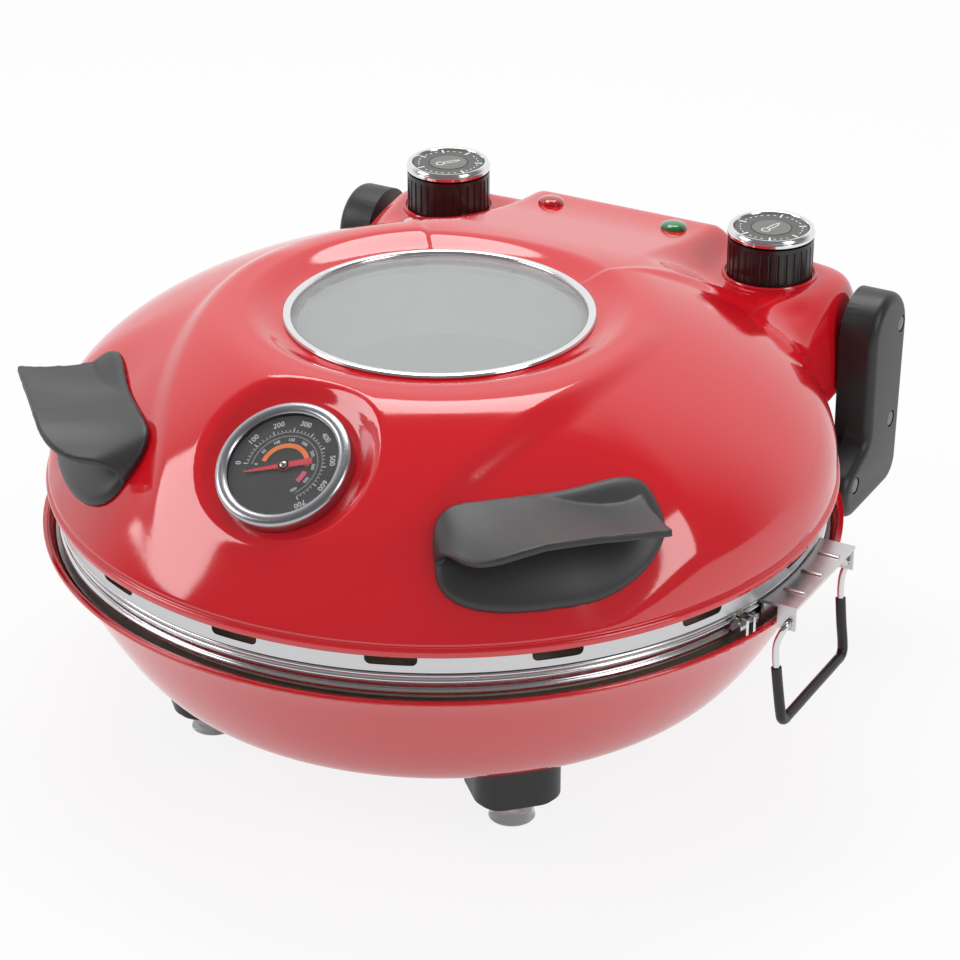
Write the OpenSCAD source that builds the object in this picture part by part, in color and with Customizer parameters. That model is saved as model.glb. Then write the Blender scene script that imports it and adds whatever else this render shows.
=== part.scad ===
// Electric pizza maker. A deep bowl on four feet holds a baking stone in a steel hoop. A domed lid
// with a window, a thermometer, two knobs and two handles swings on two arms at the back.
// The origin is on the bowl's axis, on the table. +Z is up, -Y is the front, +X is the right.

/* [Bowl] */
// Radius of the bowl over its rim
bowl_r = 180; // [178:0.5:184]
// Height of the bowl's rim above the table
rim_z = 101; // [97:0.5:105]
// Depth of the bowl below its rim
bowl_depth = 63; // [60:0.5:66]
// Radius at which the wall meets the floor
bowl_floor_r = 136; // [132:0.5:140]
// Sheet thickness of the bowl
bowl_t = 1.4; // [1:0.1:2]
// Radius of the rolled bead along the rim
bead_r = 1.6; // [1.2:0.1:2]

/* [Feet] */
// How far each foot's middle stands inside the bowl's floor
foot_inset = 26.4; // [24:0.2:32]
// Width of a foot
foot_w = 38.6; // [36:0.2:42]
// Corner radius of a foot
foot_corner = 12; // [8:0.5:14]
// Height of the clear cup under a foot
cup_h = 13.5; // [11:0.25:15]
// Diameter of the clear cup on the table
cup_d = 20.6; // [18:0.2:24]

/* [Stone] */
// How far the stone's edge stands inside the bowl's rim
stone_inset = 10; // [9:0.25:12]
// Thickness of the baking stone
stone_t = 11.2; // [10:0.2:11.6]
// How far the stone's seat lies below the bowl's rim
seat_drop = 4; // [3.5:0.25:5]
// Height of the hoop round the stone
hoop_h = 10; // [9:0.25:10.5]
// Sheet thickness of the hoop
hoop_t = 1.2; // [0.8:0.1:1.6]

/* [Carrying loops] */
// Width of the bracket between its lugs
bracket_w = 63; // [58:0.5:68]
// How far the bracket's plate stands out from the hoop
bracket_out = 14; // [13:0.5:16]
// Drop of the loop below its pivot
loop_drop = 47; // [40:0.5:52]
// Diameter of the loop's wire
wire_d = 3; // [2.6:0.1:3.4]
// Diameter of the black sleeve
sleeve_d = 4.6; // [4:0.1:6]
// How far the loop swings up
loop_swing = 100; // [60:5:110]

/* [Lid] */
// How far the lid's edge stands inside the bowl's rim
lid_inset = 4; // [3:0.25:5]
// Height of the lid's lower edge above the bowl's rim
lid_lift = 19; // [18:0.25:21]
// Height of the lid from its lower edge to its flat top
lid_h = 78.5; // [76:0.25:81]
// Wall thickness of the lid
lid_t = 2; // [1.6:0.1:2.4]
// How far the rear housing's sides stand inside the lid's edge
rear_inset = 50; // [49.5:0.25:52]
// How far the rear housing reaches behind the lid's edge
rear_reach = 16; // [14:0.5:17]
// Half the width of the hump between the knobs
hump_half_w = 52; // [46:0.5:56]
// How far the hump stands above the knob decks
hump_rise = 7; // [4:0.5:9]
// Half the width of the hood that runs from the window to the front
hood_half_w = 97; // [92:0.5:100]
// How far the hood stands above the dome beside it
hood_rise = 3.5; // [2:0.25:5]

/* [Window] */
// Radius of the opening for the glass
window_r = 66.4; // [62:0.2:68]
// Place of the window's centre along Y
window_y = -2.6; // [-4:0.2:0]
// Depth of the dish round the window
dish_depth = 5.5; // [4:0.25:7]
// Thickness of the window glass
glass_t = 3.6; // [3:0.1:4]

/* [Thermometer] */
// How far the thermometer's centre stands inside the lid's edge
gauge_inset = 42.5; // [40:0.25:45]
// How far the thermometer's front face lies below the flat top
gauge_drop = 20.8; // [18.5:0.1:22.5]
// Tilt of the thermometer towards the front
gauge_tilt = 34.4; // [32:0.2:37]
// Outer radius of the bezel
bezel_r = 29.6; // [28:0.1:31]
// Height of the bezel above its seat
bezel_h = 7; // [6:0.1:8]
// Radius of the visible dial
dial_r = 24.2; // [22:0.1:25]
// Length of the probe behind the seat
probe_len = 45; // [38:0.5:48]

/* [Knobs] */
// How far each knob's axis stands inside the housing's side
knob_side = 39.4; // [37:0.1:42]
// How far each knob's axis stands inside the housing's back
knob_back = 33.5; // [33:0.1:37]
// How far the flat seat under a knob lies below the flat top
knob_seat_drop = 28.3; // [27:0.1:30]
// Height of a knob above its seat
knob_h = 23.8; // [22:0.1:26]
// Radius of the knob's ribbed body
knob_r = 20.2; // [19:0.1:21]
// Number of grooves round a knob
knob_grooves = 32; // [24:1:40]
// Radius of the printed face
face_r = 17.2; // [16:0.1:18.4]
// Turn of the timer knob
timer_turn = 300; // [180:10:330]
// Turn of the thermostat knob
heat_turn = 270; // [180:10:330]

/* [Indicator lights] */
// Distance of each light from the middle
light_x = 33.1; // [28:0.5:38]
// How far the lights stand inside the housing's back
light_back = 26.8; // [25:0.2:33]
// Radius of a lens
lens_r = 5.4; // [4.5:0.1:6.5]

/* [Handles] */
// Turn of each handle from the front
handle_turn = 46; // [44:0.5:48]
// How far the plate's middle stands inside the lid's edge
plate_inset = 21.4; // [20:0.2:23]
// Half the length of the plate along the rim
plate_half_w = 48.5; // [44:0.5:50]
// Half the reach of the plate across the rim
plate_half_r = 15.9; // [14:0.1:16.5]
// Thickness of the plate
plate_t = 4.4; // [3.6:0.1:5]
// How far the wing's edge reaches past the lid's edge
wing_reach = 7; // [0:0.5:12]
// Height of the wing's edge above the lid under the plate's middle
wing_rise = 17.2; // [16:0.1:18]
// Thickness of the wing
wing_t = 3.4; // [3:0.1:4]
// How far the wing droops at its front end
wing_droop = 14; // [11:0.5:15]

/* [Hinge] */
// How far the hinge axis stands inside the bowl's rim
hinge_inset = 11.5; // [10.5:0.25:13]
// Height of the hinge axis above the lid's lower edge
hinge_rise = 27; // [25:0.25:28]
// Gap between an arm and the rear housing's side
arm_gap = 1.5; // [1:0.1:3.5]
// Width of an arm
arm_w = 18.2; // [17.6:0.2:20]
// Radius of the arm's upper end
arm_top_r = 20; // [18:0.25:21]
// Wall thickness of the arm's halves
arm_wall = 2.4; // [2:0.1:3]
// Radius of the hinge pin
pin_r = 4; // [3.5:0.1:4.5]
// How far the lid opens
lid_swing = 95; // [60:5:95]

/* [Fits] */
// Radial clearance of a turning pin in its bore
pin_play = 0.06; // [0.03:0.01:0.1]
// Gap between parts that lie against each other
gap = 0.3; // [0.2:0.05:0.4]
// Radial clearance of a screw or shaft in a plain hole
hole_play = 0.3; // [0.2:0.05:0.5]

/* [Hidden] */
$fn = 96;
far = 2 * bowl_r + 40;   // longer than the whole part, for cuts that go right through
eps = 0.01;      // overlap of shapes that are joined

// Places that follow from the sizes
foot_reach = bowl_floor_r - foot_inset;
stone_r = bowl_r - stone_inset;
seat_z = rim_z - seat_drop;
lid_r = bowl_r - lid_inset;
lid_z = rim_z + lid_lift;
top_z = lid_z + lid_h;
rear_half_w = lid_r - rear_inset;
rear_y = lid_r + rear_reach;
gauge_y = gauge_inset - lid_r;
gauge_z = top_z - gauge_drop;
knob_x = rear_half_w - knob_side;
knob_y = rear_y - knob_back;
knob_seat_z = top_z - knob_seat_drop;
knob_top_z = knob_seat_z + knob_h;
light_y = rear_y - light_back;
plate_r = lid_r - plate_inset;
wing_r = lid_r + wing_reach;
hinge_y = bowl_r - hinge_inset;
hinge_z = lid_z + hinge_rise;
arm_x = rear_half_w + arm_gap;

// Colours
enamel_red = [0.78, 0.04, 0.07];
plastic_black = [0.13, 0.13, 0.14];
steel_bright = [0.80, 0.80, 0.78];
steel_dull = [0.55, 0.55, 0.54];

// ---- Shared functions ----
function ramp(a, b, x) = let (t = min(1, max(0, (x - a) / (b - a)))) t * t * (3 - 2 * t);
function mix(a, b, t) = a + (b - a) * t;
function soft_min(a, b, k) = let (h = max(k - abs(a - b), 0) / k) min(a, b) - h * h * k / 4;
function soft_max(a, b, k) = -soft_min(-a, -b, k);
function polar(r, phi, z) = [r * cos(phi), r * sin(phi), z];

// ---- Bowl ----
bowl_fall = 1.58;   // how the wall rounds over into the floor
bowl_lean = 0.8;    // how the wall leans in below the rim
bowl_steps = 28;
floor_z = rim_z - bowl_depth;
// One point of the wall: t runs from 0 at the rim to 1 at the floor, w is the distance inwards
function bowl_point(t, w) = [
    bowl_r - w - (bowl_r - bowl_floor_r) * pow(t, bowl_lean),
    rim_z - (bowl_depth - w) * (1 - pow(1 - t, bowl_fall))];
function bowl_wall(w) = [for (i = [0 : bowl_steps]) bowl_point(i / bowl_steps, w)];
// Radius of the wall, w inside the outer face, at height z
function bowl_r_at(z, w) = let (
        fall = (rim_z - z) / (bowl_depth - w),
        t = 1 - pow(1 - fall, 1 / bowl_fall))
    bowl_r - w - (bowl_r - bowl_floor_r) * pow(t, bowl_lean);

module bowl_solid(w) {
    rotate_extrude() polygon(concat([[0, rim_z]], bowl_wall(w), [[0, floor_z + w]]));
}

foot_angles = [45, 135, 225, 315];
foot_screw_r = 2;
gland_r = 7;
gland_z = rim_z - 30;

module at_feet() {
    for (a = foot_angles) rotate(a) translate([foot_reach, 0, 0]) children();
}

module lower_bowl() {
    color(enamel_red) difference() {
        union() {
            rotate_extrude() polygon(concat(
                [[bowl_r - bowl_t, rim_z]], bowl_wall(0), [[0, floor_z], [0, floor_z + bowl_t]],
                [for (i = [bowl_steps : -1 : 0]) bowl_point(i / bowl_steps, bowl_t)]));
            translate([0, 0, rim_z - bead_r]) rotate_extrude()
                translate([bowl_r - bead_r, 0]) circle(bead_r, $fn = 24);
        }
        at_feet() translate([0, 0, floor_z - 1])
            cylinder(r = foot_screw_r + hole_play, h = 6, $fn = 32);
        translate([0, bowl_r, gland_z]) rotate([90, 0, 0])
            cylinder(r = gland_r + hole_play, h = bowl_r - bowl_floor_r, $fn = 48);
    }
}

// ---- Feet ----
foot_chamfer = 2;
module rounded_block(w, corner, h) {
    linear_extrude(h) {
        square([w - 2 * corner, w], center = true);
        square([w, w - 2 * corner], center = true);
        for (x = [-1, 1], y = [-1, 1]) translate([x, y] * (w / 2 - corner)) circle(corner, $fn = 48);
    }
}

module feet() {
    screw_depth = 14;
    color(plastic_black) at_feet() difference() {
        union() {
            translate([0, 0, cup_h + foot_chamfer])
                rounded_block(foot_w, foot_corner, floor_z - cup_h - foot_chamfer);
            translate([0, 0, cup_h])
                rounded_block(foot_w - 2 * foot_chamfer, foot_corner - foot_chamfer, foot_chamfer + eps);
        }
        translate([0, 0, floor_z - screw_depth])
            cylinder(r = foot_screw_r + hole_play, h = screw_depth + 1, $fn = 32);
        translate([0, 0, cup_h - 1]) cylinder(r = 3 + hole_play, h = 7, $fn = 32);
    }
}

module suction_cups() {
    stud_h = 5;
    color([0.9, 0.92, 0.93, 0.5]) at_feet() {
        rotate_extrude($fn = 64) polygon([[0, 1], [cup_d / 2 - 2, 0], [cup_d / 2, 0],
            [cup_d / 2 - 3, cup_h - 2], [cup_d / 2 - 4, cup_h], [0, cup_h]]);
        translate([0, 0, cup_h - eps]) cylinder(r = 3, h = stud_h, $fn = 32);
    }
}

module foot_screws() {
    head_h = 2;
    shank = 12;
    color(steel_dull) at_feet() {
        translate([0, 0, floor_z + bowl_t]) cylinder(r = 2 * foot_screw_r, h = head_h, $fn = 32);
        translate([0, 0, floor_z + bowl_t - shank]) cylinder(r = foot_screw_r, h = shank + eps, $fn = 32);
    }
}

module inlet_gland() {
    flange_t = 3;
    face_y = bowl_r_at(gland_z - gland_r - 3, 0) + 1;
    wall_y = bowl_r_at(gland_z + gland_r + 3, 0);
    color(plastic_black) difference() {
        union() {
            translate([0, wall_y + 8, gland_z]) rotate([90, 0, 0])
                cylinder(r = gland_r, h = wall_y + 14 - face_y);
            translate([0, wall_y + 2, gland_z]) rotate([90, 0, 0])
                cylinder(r = gland_r + flange_t, h = wall_y + 2 - face_y);
        }
        bowl_outside();
        translate([0, far / 2, gland_z]) rotate([90, 0, 0]) cylinder(r = 3.5, h = far / 2, $fn = 32);
    }
}

// The bowl's outer form with a small gap, cut out of what fits against it
module bowl_outside() {
    difference() {
        bowl_solid(-gap);
        bowl_solid(bowl_t + gap);
    }
}

// ---- Inside the bowl ----
shield_t = 1;
shield_floor_z = floor_z + 15;
shield_floor_r = bowl_floor_r - 8;
shield_slope_r = stone_r - 20;
shield_slope_z = seat_z - 12;
element_d = 6.6;
low_element_r = shield_floor_r - 16;
low_element_z = shield_floor_z + 16;
element_gap = 12;   // half the angle left open between the element's ends

module heat_shield() {
    edge = bowl_r_at(seat_z - shield_t, bowl_t) - 0.1;
    inner_r = stone_r - 8;
    line = [[0, shield_floor_z], [shield_floor_r, shield_floor_z], [shield_slope_r, shield_slope_z],
        [inner_r, seat_z - shield_t], [edge, seat_z - shield_t]];
    back = [[edge, seat_z], [inner_r - shield_t, seat_z],
        [shield_slope_r - shield_t, shield_slope_z + shield_t],
        [shield_floor_r - shield_t, shield_floor_z + shield_t], [0, shield_floor_z + shield_t]];
    color(steel_dull) difference() {
        rotate_extrude() polygon(concat(line, back));
        for (a = [90 - element_gap, 90 + element_gap])
            translate(polar(low_element_r, a, shield_floor_z - 1))
                cylinder(d = element_d + 3, h = 4, $fn = 32);
    }
}

// A heater ring that is open at the back, with a leg of the given height at each end
module element_ring(r, z, leg) {
    leg_d = element_d + 1.4;
    translate([0, 0, z]) rotate(90 + element_gap) rotate_extrude(angle = 360 - 2 * element_gap)
        translate([r, 0]) circle(d = element_d, $fn = 24);
    for (a = [90 - element_gap, 90 + element_gap])
        translate(polar(r, a, z + min(0, leg) - (leg > 0 ? leg_d / 2 : 0)))
            cylinder(d = leg_d, h = abs(leg) + leg_d / 2, $fn = 24);
}

module lower_element() {
    color([0.25, 0.24, 0.24]) element_ring(low_element_r, low_element_z, -24);
}

clip_angles = [0, 180, 270];
module lower_element_clips() {
    clip_w = 8;
    color(steel_dull) for (a = clip_angles) rotate(a)
        translate([low_element_r - clip_w / 2, -clip_w / 2, shield_floor_z + shield_t])
            difference() {
                cube([clip_w, clip_w, low_element_z - shield_floor_z - shield_t]);
                translate([clip_w / 2, -1, low_element_z - shield_floor_z - shield_t]) rotate([-90, 0, 0])
                    cylinder(d = element_d + 2 * gap, h = clip_w + 2, $fn = 32);
            }
}

module terminal_block() {
    block = [44, 16, 9];
    color([0.85, 0.83, 0.78]) translate([-block[0] / 2, low_element_r - 34, floor_z + bowl_t]) difference() {
        cube(block);
        for (x = [0.2, 0.5, 0.8]) translate([block[0] * x, block[1] / 2, 3])
            cylinder(r = 2.5, h = block[2], $fn = 24);
    }
}

// ---- Stone and hoop ----
hoop_in = stone_r + gap;
hoop_out = hoop_in + hoop_t;
hoop_z = rim_z - 1.2;
hoop_top = hoop_z + hoop_h;
clamp_angle = -15;  // where the hoop's ends are bolted together
clamp_r = hoop_out + 4;
clamp_z = hoop_z + hoop_h / 2;
bolt_r = 1.5;
ear_t = 1.6;
ear_gap = 3;

module pizza_stone() {
    edge = 1;
    color([0.80, 0.72, 0.60]) rotate_extrude() polygon([[0, seat_z], [stone_r - edge, seat_z],
        [stone_r, seat_z + edge], [stone_r, seat_z + stone_t - edge], [stone_r - edge, seat_z + stone_t],
        [0, seat_z + stone_t]]);
}

// Half a round bead on the outside of the hoop
function hoop_bead(z, r) = [for (a = [-90 : 18 : 90]) [hoop_out + r * cos(a), z + r * sin(a)]];

module stone_hoop() {
    top_bead = 1.1;
    low_bead = 1.6;
    color(steel_bright) difference() {
        union() {
            rotate_extrude() polygon(concat([[hoop_in, hoop_z]], hoop_bead(hoop_z + low_bead, low_bead),
                hoop_bead(hoop_top - 3.3 * top_bead, top_bead), hoop_bead(hoop_top - top_bead, top_bead),
                [[hoop_in, hoop_top]]));
            at_clamp() for (s = [-1, 1]) translate([-4 - eps, s * (ear_gap + ear_t) / 2 - ear_t / 2, -3.5])
                cube([8, ear_t, 7]);
        }
        at_clamp() translate([-8, -ear_gap / 2, -hoop_h]) cube([8 + 4, ear_gap, 2 * hoop_h]);
        at_clamp() rotate([90, 0, 0]) cylinder(r = bolt_r + hole_play, h = 20, center = true, $fn = 32);
    }
}

module at_clamp() {
    rotate(clamp_angle) translate([clamp_r, 0, clamp_z]) children();
}

ear_out = ear_gap / 2 + ear_t;
module hoop_bolt() {
    color(steel_bright) at_clamp() rotate([90, 0, 0]) {
        translate([0, 0, ear_out]) cylinder(r = 2.8, h = 2.2, $fn = 32);
        translate([0, 0, -ear_out - 5]) cylinder(r = bolt_r, h = 2 * ear_out + 5 + eps, $fn = 32);
    }
}

module hoop_nut() {
    color(steel_bright) at_clamp() rotate([90, 0, 0]) translate([0, 0, -ear_out - 2.4]) difference() {
        cylinder(r = 3, h = 2.4, $fn = 6);
        translate([0, 0, -1]) cylinder(r = bolt_r + 0.05, h = 5, $fn = 32);
    }
}

// ---- Carrying loops ----
lug_t = 1.4;
bracket_t = 1.4;
bracket_z = hoop_top - bracket_t;
bracket_in = hoop_out + 1.7;
bracket_x = bracket_in + bracket_out;
loop_x = bowl_r + 4;
loop_z = rim_z + 1.5;
lug_hole_r = wire_d / 2 + 0.35;
leg_y = bracket_w / 2 + gap + wire_d / 2;
sleeve_drop = 17;

module loop_bracket() {
    rib_r = 2;
    color(steel_bright) difference() {
        union() {
            translate([0, 0, bracket_z]) linear_extrude(bracket_t) difference() {
                translate([bowl_floor_r, -bracket_w / 2]) square([bracket_x - bowl_floor_r, bracket_w]);
                circle(bracket_in);
            }
            rotate(-10) translate([0, 0, hoop_z + 1]) rotate_extrude(angle = 20)
                translate([bracket_in + 0.1, 0]) square([1.2, bracket_z + bracket_t / 2 - hoop_z - 1]);
            for (y = [-bracket_w / 2, bracket_w / 2 - lug_t])
                translate([bowl_r - 1.4, y, loop_z - 4])
                    cube([bracket_x - bowl_r + 1, lug_t, bracket_z + bracket_t / 2 - loop_z + 4]);
            for (y = [-1, 0, 1]) translate([bracket_in + 2.4, y * bracket_w * 0.29, hoop_top - 1.2])
                rotate([0, 90, 0]) cylinder(r = rib_r, h = bracket_out - 4.5, $fn = 32);
        }
        translate([loop_x, 0, loop_z]) rotate([90, 0, 0])
            cylinder(r = lug_hole_r, h = far / 2, center = true, $fn = 32);
    }
}

bend_r = 5;
loop_low_z = loop_z - loop_drop;
// A quarter bend of round bar: starts at the origin heading along -Z and leaves along +Y
module bend(d) {
    translate([0, bend_r, 0]) rotate([90, 0, 90]) rotate([0, 0, 180]) rotate_extrude(angle = 90)
        translate([bend_r, 0]) circle(d = d, $fn = 24);
}

// The two legs from height top down, the lower corners and the bar between them
module loop_form(d, top) {
    for (side = [0, 1]) mirror([0, side, 0]) translate([0, leg_y, loop_low_z + bend_r]) {
        cylinder(d = d, h = top - loop_low_z - bend_r, $fn = 24);
        mirror([0, 1, 0]) bend(d);
    }
    translate([0, leg_y - bend_r, loop_low_z]) rotate([90, 0, 0])
        cylinder(d = d, h = 2 * (leg_y - bend_r), $fn = 24);
}

module carry_loop() {
    pivot_in = bracket_w / 2 - lug_t - 2;
    color(steel_bright) translate([loop_x, 0, 0]) union() {
        loop_form(wire_d, loop_z);
        for (side = [0, 1]) mirror([0, side, 0]) translate([0, leg_y, loop_z]) {
            sphere(d = wire_d, $fn = 24);
            rotate([90, 0, 0]) cylinder(d = wire_d, h = leg_y - pivot_in, $fn = 24);
        }
    }
}

module loop_sleeve() {
    top = loop_z - sleeve_drop;
    color(plastic_black) translate([loop_x, 0, 0]) difference() {
        loop_form(sleeve_d, top);
        loop_form(wire_d + 0.02, top + 1);
    }
}

// ---- Lid surface ----
lid_sectors = 80;
lid_rows = 20;
rim_h = 6;                    // height of the stepped rim
wall_z = lid_z + rim_h;       // where the rim passes into the dome
corner_power = 20;            // squareness of the rear housing's corners
notch_power = 30;             // tightness of the notch between dome and rear housing
hump_z = top_z - 21;
hump_slope = 0.215;           // fall of the roof in the middle and beside the hump
side_slope = 0.4;
roof_y = rear_y - 120;

// Radius of the lid's outline in direction phi, drawn in by w
function box_r(phi, w = 0) = pow(pow(abs(cos(phi)) / (rear_half_w - w), corner_power)
    + pow(max(0, sin(phi)) / (rear_y - w), corner_power), -1 / corner_power);
function outline_r(phi, w = 0) = sin(phi) <= 0 ? lid_r - w :
    (lid_r - w) * pow(1 + pow(box_r(phi, w) / (lid_r - w), notch_power), 1 / notch_power);

// The domed part: s is the share of the way to the outline
function dome_z(s, phi) = mix(
    wall_z + (top_z - wall_z + 10.5) * pow(1 - pow(s, 3.2), 0.97),
    wall_z + (top_z - wall_z + 26) * pow(1 - s, 0.42),
    ramp(-0.66, -0.36, sin(phi)));

// The roof of the rear housing, with the hump in its middle
function roof_z(x, y) = let (
        fall = mix(hump_slope, side_slope, ramp(hump_half_w - 6, hump_half_w + 28, abs(x))),
        slope = soft_min(top_z, top_z - fall * (y - roof_y), 6),
        deck = hump_z - hump_rise * ramp(hump_half_w - 6, hump_half_w + 8, abs(x))
            * ramp(rear_y - 100, rear_y - 55, y))
    soft_max(slope - (hump_z - deck), deck, 6);

// The dome and the housing meet in a soft crease that runs down to the notch by the arm
function body_z(x, y) = let (
        phi = atan2(y, x),
        turn = atan2(y, abs(x)),
        r = norm([x, y]),
        hood = hood_rise * (1 - ramp(-5, 7, abs(x) - hood_half_w + 0.0019 * y * y))
            * ramp(8 - lid_r, 46 - lid_r, y),
        round = soft_min(dome_z(min(1, r / lid_r), phi) + hood * (1 - ramp(-10, 30, y)), top_z, 3),
        dome = mix(round, wall_z, ramp(52, 70, turn)),
        edge = sqrt(1 - pow(min(1, r / box_r(phi)), mix(36, 80, ramp(50, 75, turn)))),
        box = wall_z + (roof_z(x, y) - wall_z) * edge * ramp(18, 40, turn),
        high = max(dome, box))
    soft_max(dome, box, 0.4 + 7 * ramp(wall_z, wall_z + 20, high) * (1 - ramp(top_z - 18, top_z - 3, high)));

// Flat seats for the knobs and the thermometer, and the dish round the window
function knob_share(x, y) = let (dx = abs(x) - knob_x, dy = y - knob_y, d = norm([dx, dy]))
    1 - ramp(knob_r + 2.2, mix(knob_r + 8, knob_r + 22, ramp(0.1, 1, -dy / max(d, 1))), d);
seat_c = [gauge_y + (bezel_h + gap) * sin(gauge_tilt), gauge_z - (bezel_h + gap) * cos(gauge_tilt)];
function gauge_share(x, y) = 1 - ramp(bezel_r + 2.5, bezel_r + 12,
    norm([x, (y - seat_c[0]) / cos(gauge_tilt)]));
function dish(x, y) = dish_depth * (1 - ramp(window_r + 3, window_r + 20, norm([x, y - window_y])));
function lid_top(x, y) = let (
        body = body_z(x, y) - dish(x, y),
        seated = mix(body, knob_seat_z, knob_share(x, y)))
    mix(seated, seat_c[1] + (y - seat_c[0]) * tan(gauge_tilt), gauge_share(x, y));
function lid_normal(x, y) = let (d = 0.5,
        v = [lid_top(x - d, y) - lid_top(x + d, y), lid_top(x, y - d) - lid_top(x, y + d), 2 * d])
    v / norm(v);

// Rings of points: t runs from the window's edge to the outline, drawn in by w and lowered by w
function lid_point(t, phi, w) = let (
        r = mix(window_r, outline_r(phi, w), t), x = r * cos(phi), y = r * sin(phi) + window_y * (1 - t),
        full = outline_r(phi) / outline_r(phi, w))
    [x, y, lid_top(x * mix(1, full, t), y * mix(1, full, t)) - w];
function spread(t) = t - 0.09 * sin(360 * t);
// The rings' directions crowd together at the rear housing's corners
corner_phi = 33;
function crowd(a) = a + 0.17 * (atan((a - corner_phi) / 7) + atan((a + corner_phi) / 7));
crowding = [for (a = [-180 : 2 : 180]) [crowd(a), a]];
lid_phi = [for (j = [0 : lid_sectors - 1]) 90 + lookup(crowd(180) * (2 * j / lid_sectors - 1), crowding)];
function lid_ring(t, w) = [for (phi = lid_phi) lid_point(t, phi, w)];
function rim_ring(out, z) = [for (phi = lid_phi) polar(outline_r(phi) + out, phi, z)];
rim_steps = [[0.3, 1.0], [-0.2, 0.75], [1.1, 0.6], [1.4, 0.35], [1, 0]];
lid_rings = concat(
    [for (i = [0 : lid_rows]) lid_ring(spread(i / lid_rows), 0)],
    [for (k = rim_steps) rim_ring(k[0], lid_z + rim_h * k[1] * 0.85)],
    [rim_ring(-lid_t, lid_z)],
    [for (i = [lid_rows : -1 : 0]) lid_ring(spread(i / lid_rows), lid_t)]);

module ring_skin(rings) {
    n = len(rings[0]);
    m = len(rings);
    polyhedron([for (ring = rings, p = ring) p], [for (i = [0 : m - 1], j = [0 : n - 1])
        let (a = i * n + j, b = i * n + (j + 1) % n, k = (i + 1) % m, c = k * n + (j + 1) % n, d = k * n + j)
        each [[a, b, c], [a, c, d]]]);
}

// ---- Lid ----
shaft_r = 3;
shaft_hole_r = shaft_r + 1.5;
probe_r = 2.5;
liner_t = 1;
liner_out = lid_r - lid_t - 2 * gap;   // clear of the flats between the lid's directions
liner_low_z = hoop_top + 1.2;
liner_top_z = wall_z - 0.2;
boss_r = 4.5;
light_tilt = -4;

module at_knobs() {
    for (side = [-1, 1]) translate([side * knob_x, knob_y, 0]) children();
}
module at_light(side) {
    translate([side * light_x, light_y, lid_top(light_x, light_y)]) rotate([light_tilt, 0, 0]) children();
}
module at_gauge() {
    translate([0, gauge_y, gauge_z]) rotate([gauge_tilt, 0, 0]) children();
}
module across(side) {
    mirror([side < 0 ? 1 : 0, 0, 0]) children();
}

// Screw bosses under the handles: place along the rim and across it, on the handle's own axis
boss_spots = [for (u = [-30, 30]) [u, plate_r]];
function handle_xy(u, w) = let (a = 270 + handle_turn) [w * cos(a) - u * sin(a), w * sin(a) + u * cos(a)];

module lid_cover() {
    color(enamel_red) difference() {
        union() {
            ring_skin(lid_rings);
            for (side = [-1, 1]) across(side) {
                for (spot = boss_spots)
                    let (q = handle_xy(spot[0], spot[1] - 4), top = lid_top(q[0], q[1]) - lid_t) hull() {
                        translate([q[0], q[1], top - 14]) cylinder(r = boss_r, h = 1, $fn = 24);
                        translate([q[0], q[1], top + 0.8]) sphere(1, $fn = 12);
                    }
                for (x = [rear_half_w - 52.5, rear_half_w - 18.5]) hull() {
                    translate([x, rear_y - 10, liner_top_z + 1]) cylinder(r = boss_r - 0.5, h = 1, $fn = 24);
                    translate([x, rear_y - 10, liner_top_z + 20]) cylinder(r = 2, h = 1, $fn = 24);
                    translate([x, rear_y - lid_t - 1, liner_top_z + 10]) sphere(1, $fn = 12);
                }
            }
        }
        at_knobs() {
            translate([0, 0, knob_seat_z - 10]) cylinder(r = shaft_hole_r, h = 20, $fn = 48);
            translate([0, 0, knob_seat_z]) cylinder(r = knob_r + 1, h = 20, $fn = 64);
        }
        for (side = [-1, 1]) at_light(side) translate([0, 0, -12])
            cylinder(r = lens_r + 0.2, h = 20, $fn = 48);
        at_gauge() {
            translate([0, 0, -30]) cylinder(r = probe_r + hole_play, h = 30, $fn = 32);
            translate([0, 0, -bezel_h - gap]) cylinder(r = bezel_r + 0.5, h = 20, $fn = 64);
        }
        translate([0, hinge_y, hinge_z]) rotate([0, 90, 0])
            cylinder(r = pin_r + 1, h = far, center = true, $fn = 32);
    }
}

slot_count = 16;
slot_w = 21.6;
slot_low_z = liner_low_z + 5.6;
slot_corner = 2;
module lid_liner() {
    flange_in = stone_r - 12;
    color(steel_bright) difference() {
        rotate_extrude() polygon([[liner_out - liner_t, liner_low_z], [liner_out, liner_low_z],
            [liner_out, liner_top_z - lid_t - gap], [liner_out - lid_t - gap, liner_top_z],
            [flange_in, liner_top_z], [flange_in, liner_top_z - liner_t],
            [liner_out - lid_t - gap - liner_t / 2, liner_top_z - liner_t],
            [liner_out - liner_t, liner_top_z - lid_t - gap - liner_t / 2]]);
        for (k = [0 : slot_count - 1]) rotate(-90 + 360 * k / slot_count)
            translate([liner_out - 4, 0, slot_low_z]) {
                translate([0, -slot_w / 2, slot_corner]) cube([8, slot_w, 4]);
                translate([0, slot_corner - slot_w / 2, 0])
                    cube([8, slot_w - 2 * slot_corner, slot_corner + eps]);
                for (y = [-1, 1]) translate([0, y * (slot_w / 2 - slot_corner), slot_corner])
                    rotate([0, 90, 0]) cylinder(r = slot_corner, h = 8, $fn = 24);
            }
    }
}

reflector_t = 0.8;
tunnel_r = window_r - 0.4;
seal_t = 1.2;
window_edge_z = top_z - dish_depth;
seal_z = window_edge_z - glass_t - seal_t;
up_element_r = stone_r - 48;
up_element_z = liner_top_z + 8;
// Radius and height of the reflector's two bends
reflector_step = [stone_r - 20, liner_top_z + 8, up_element_r - 12, liner_top_z + 18];

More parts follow.
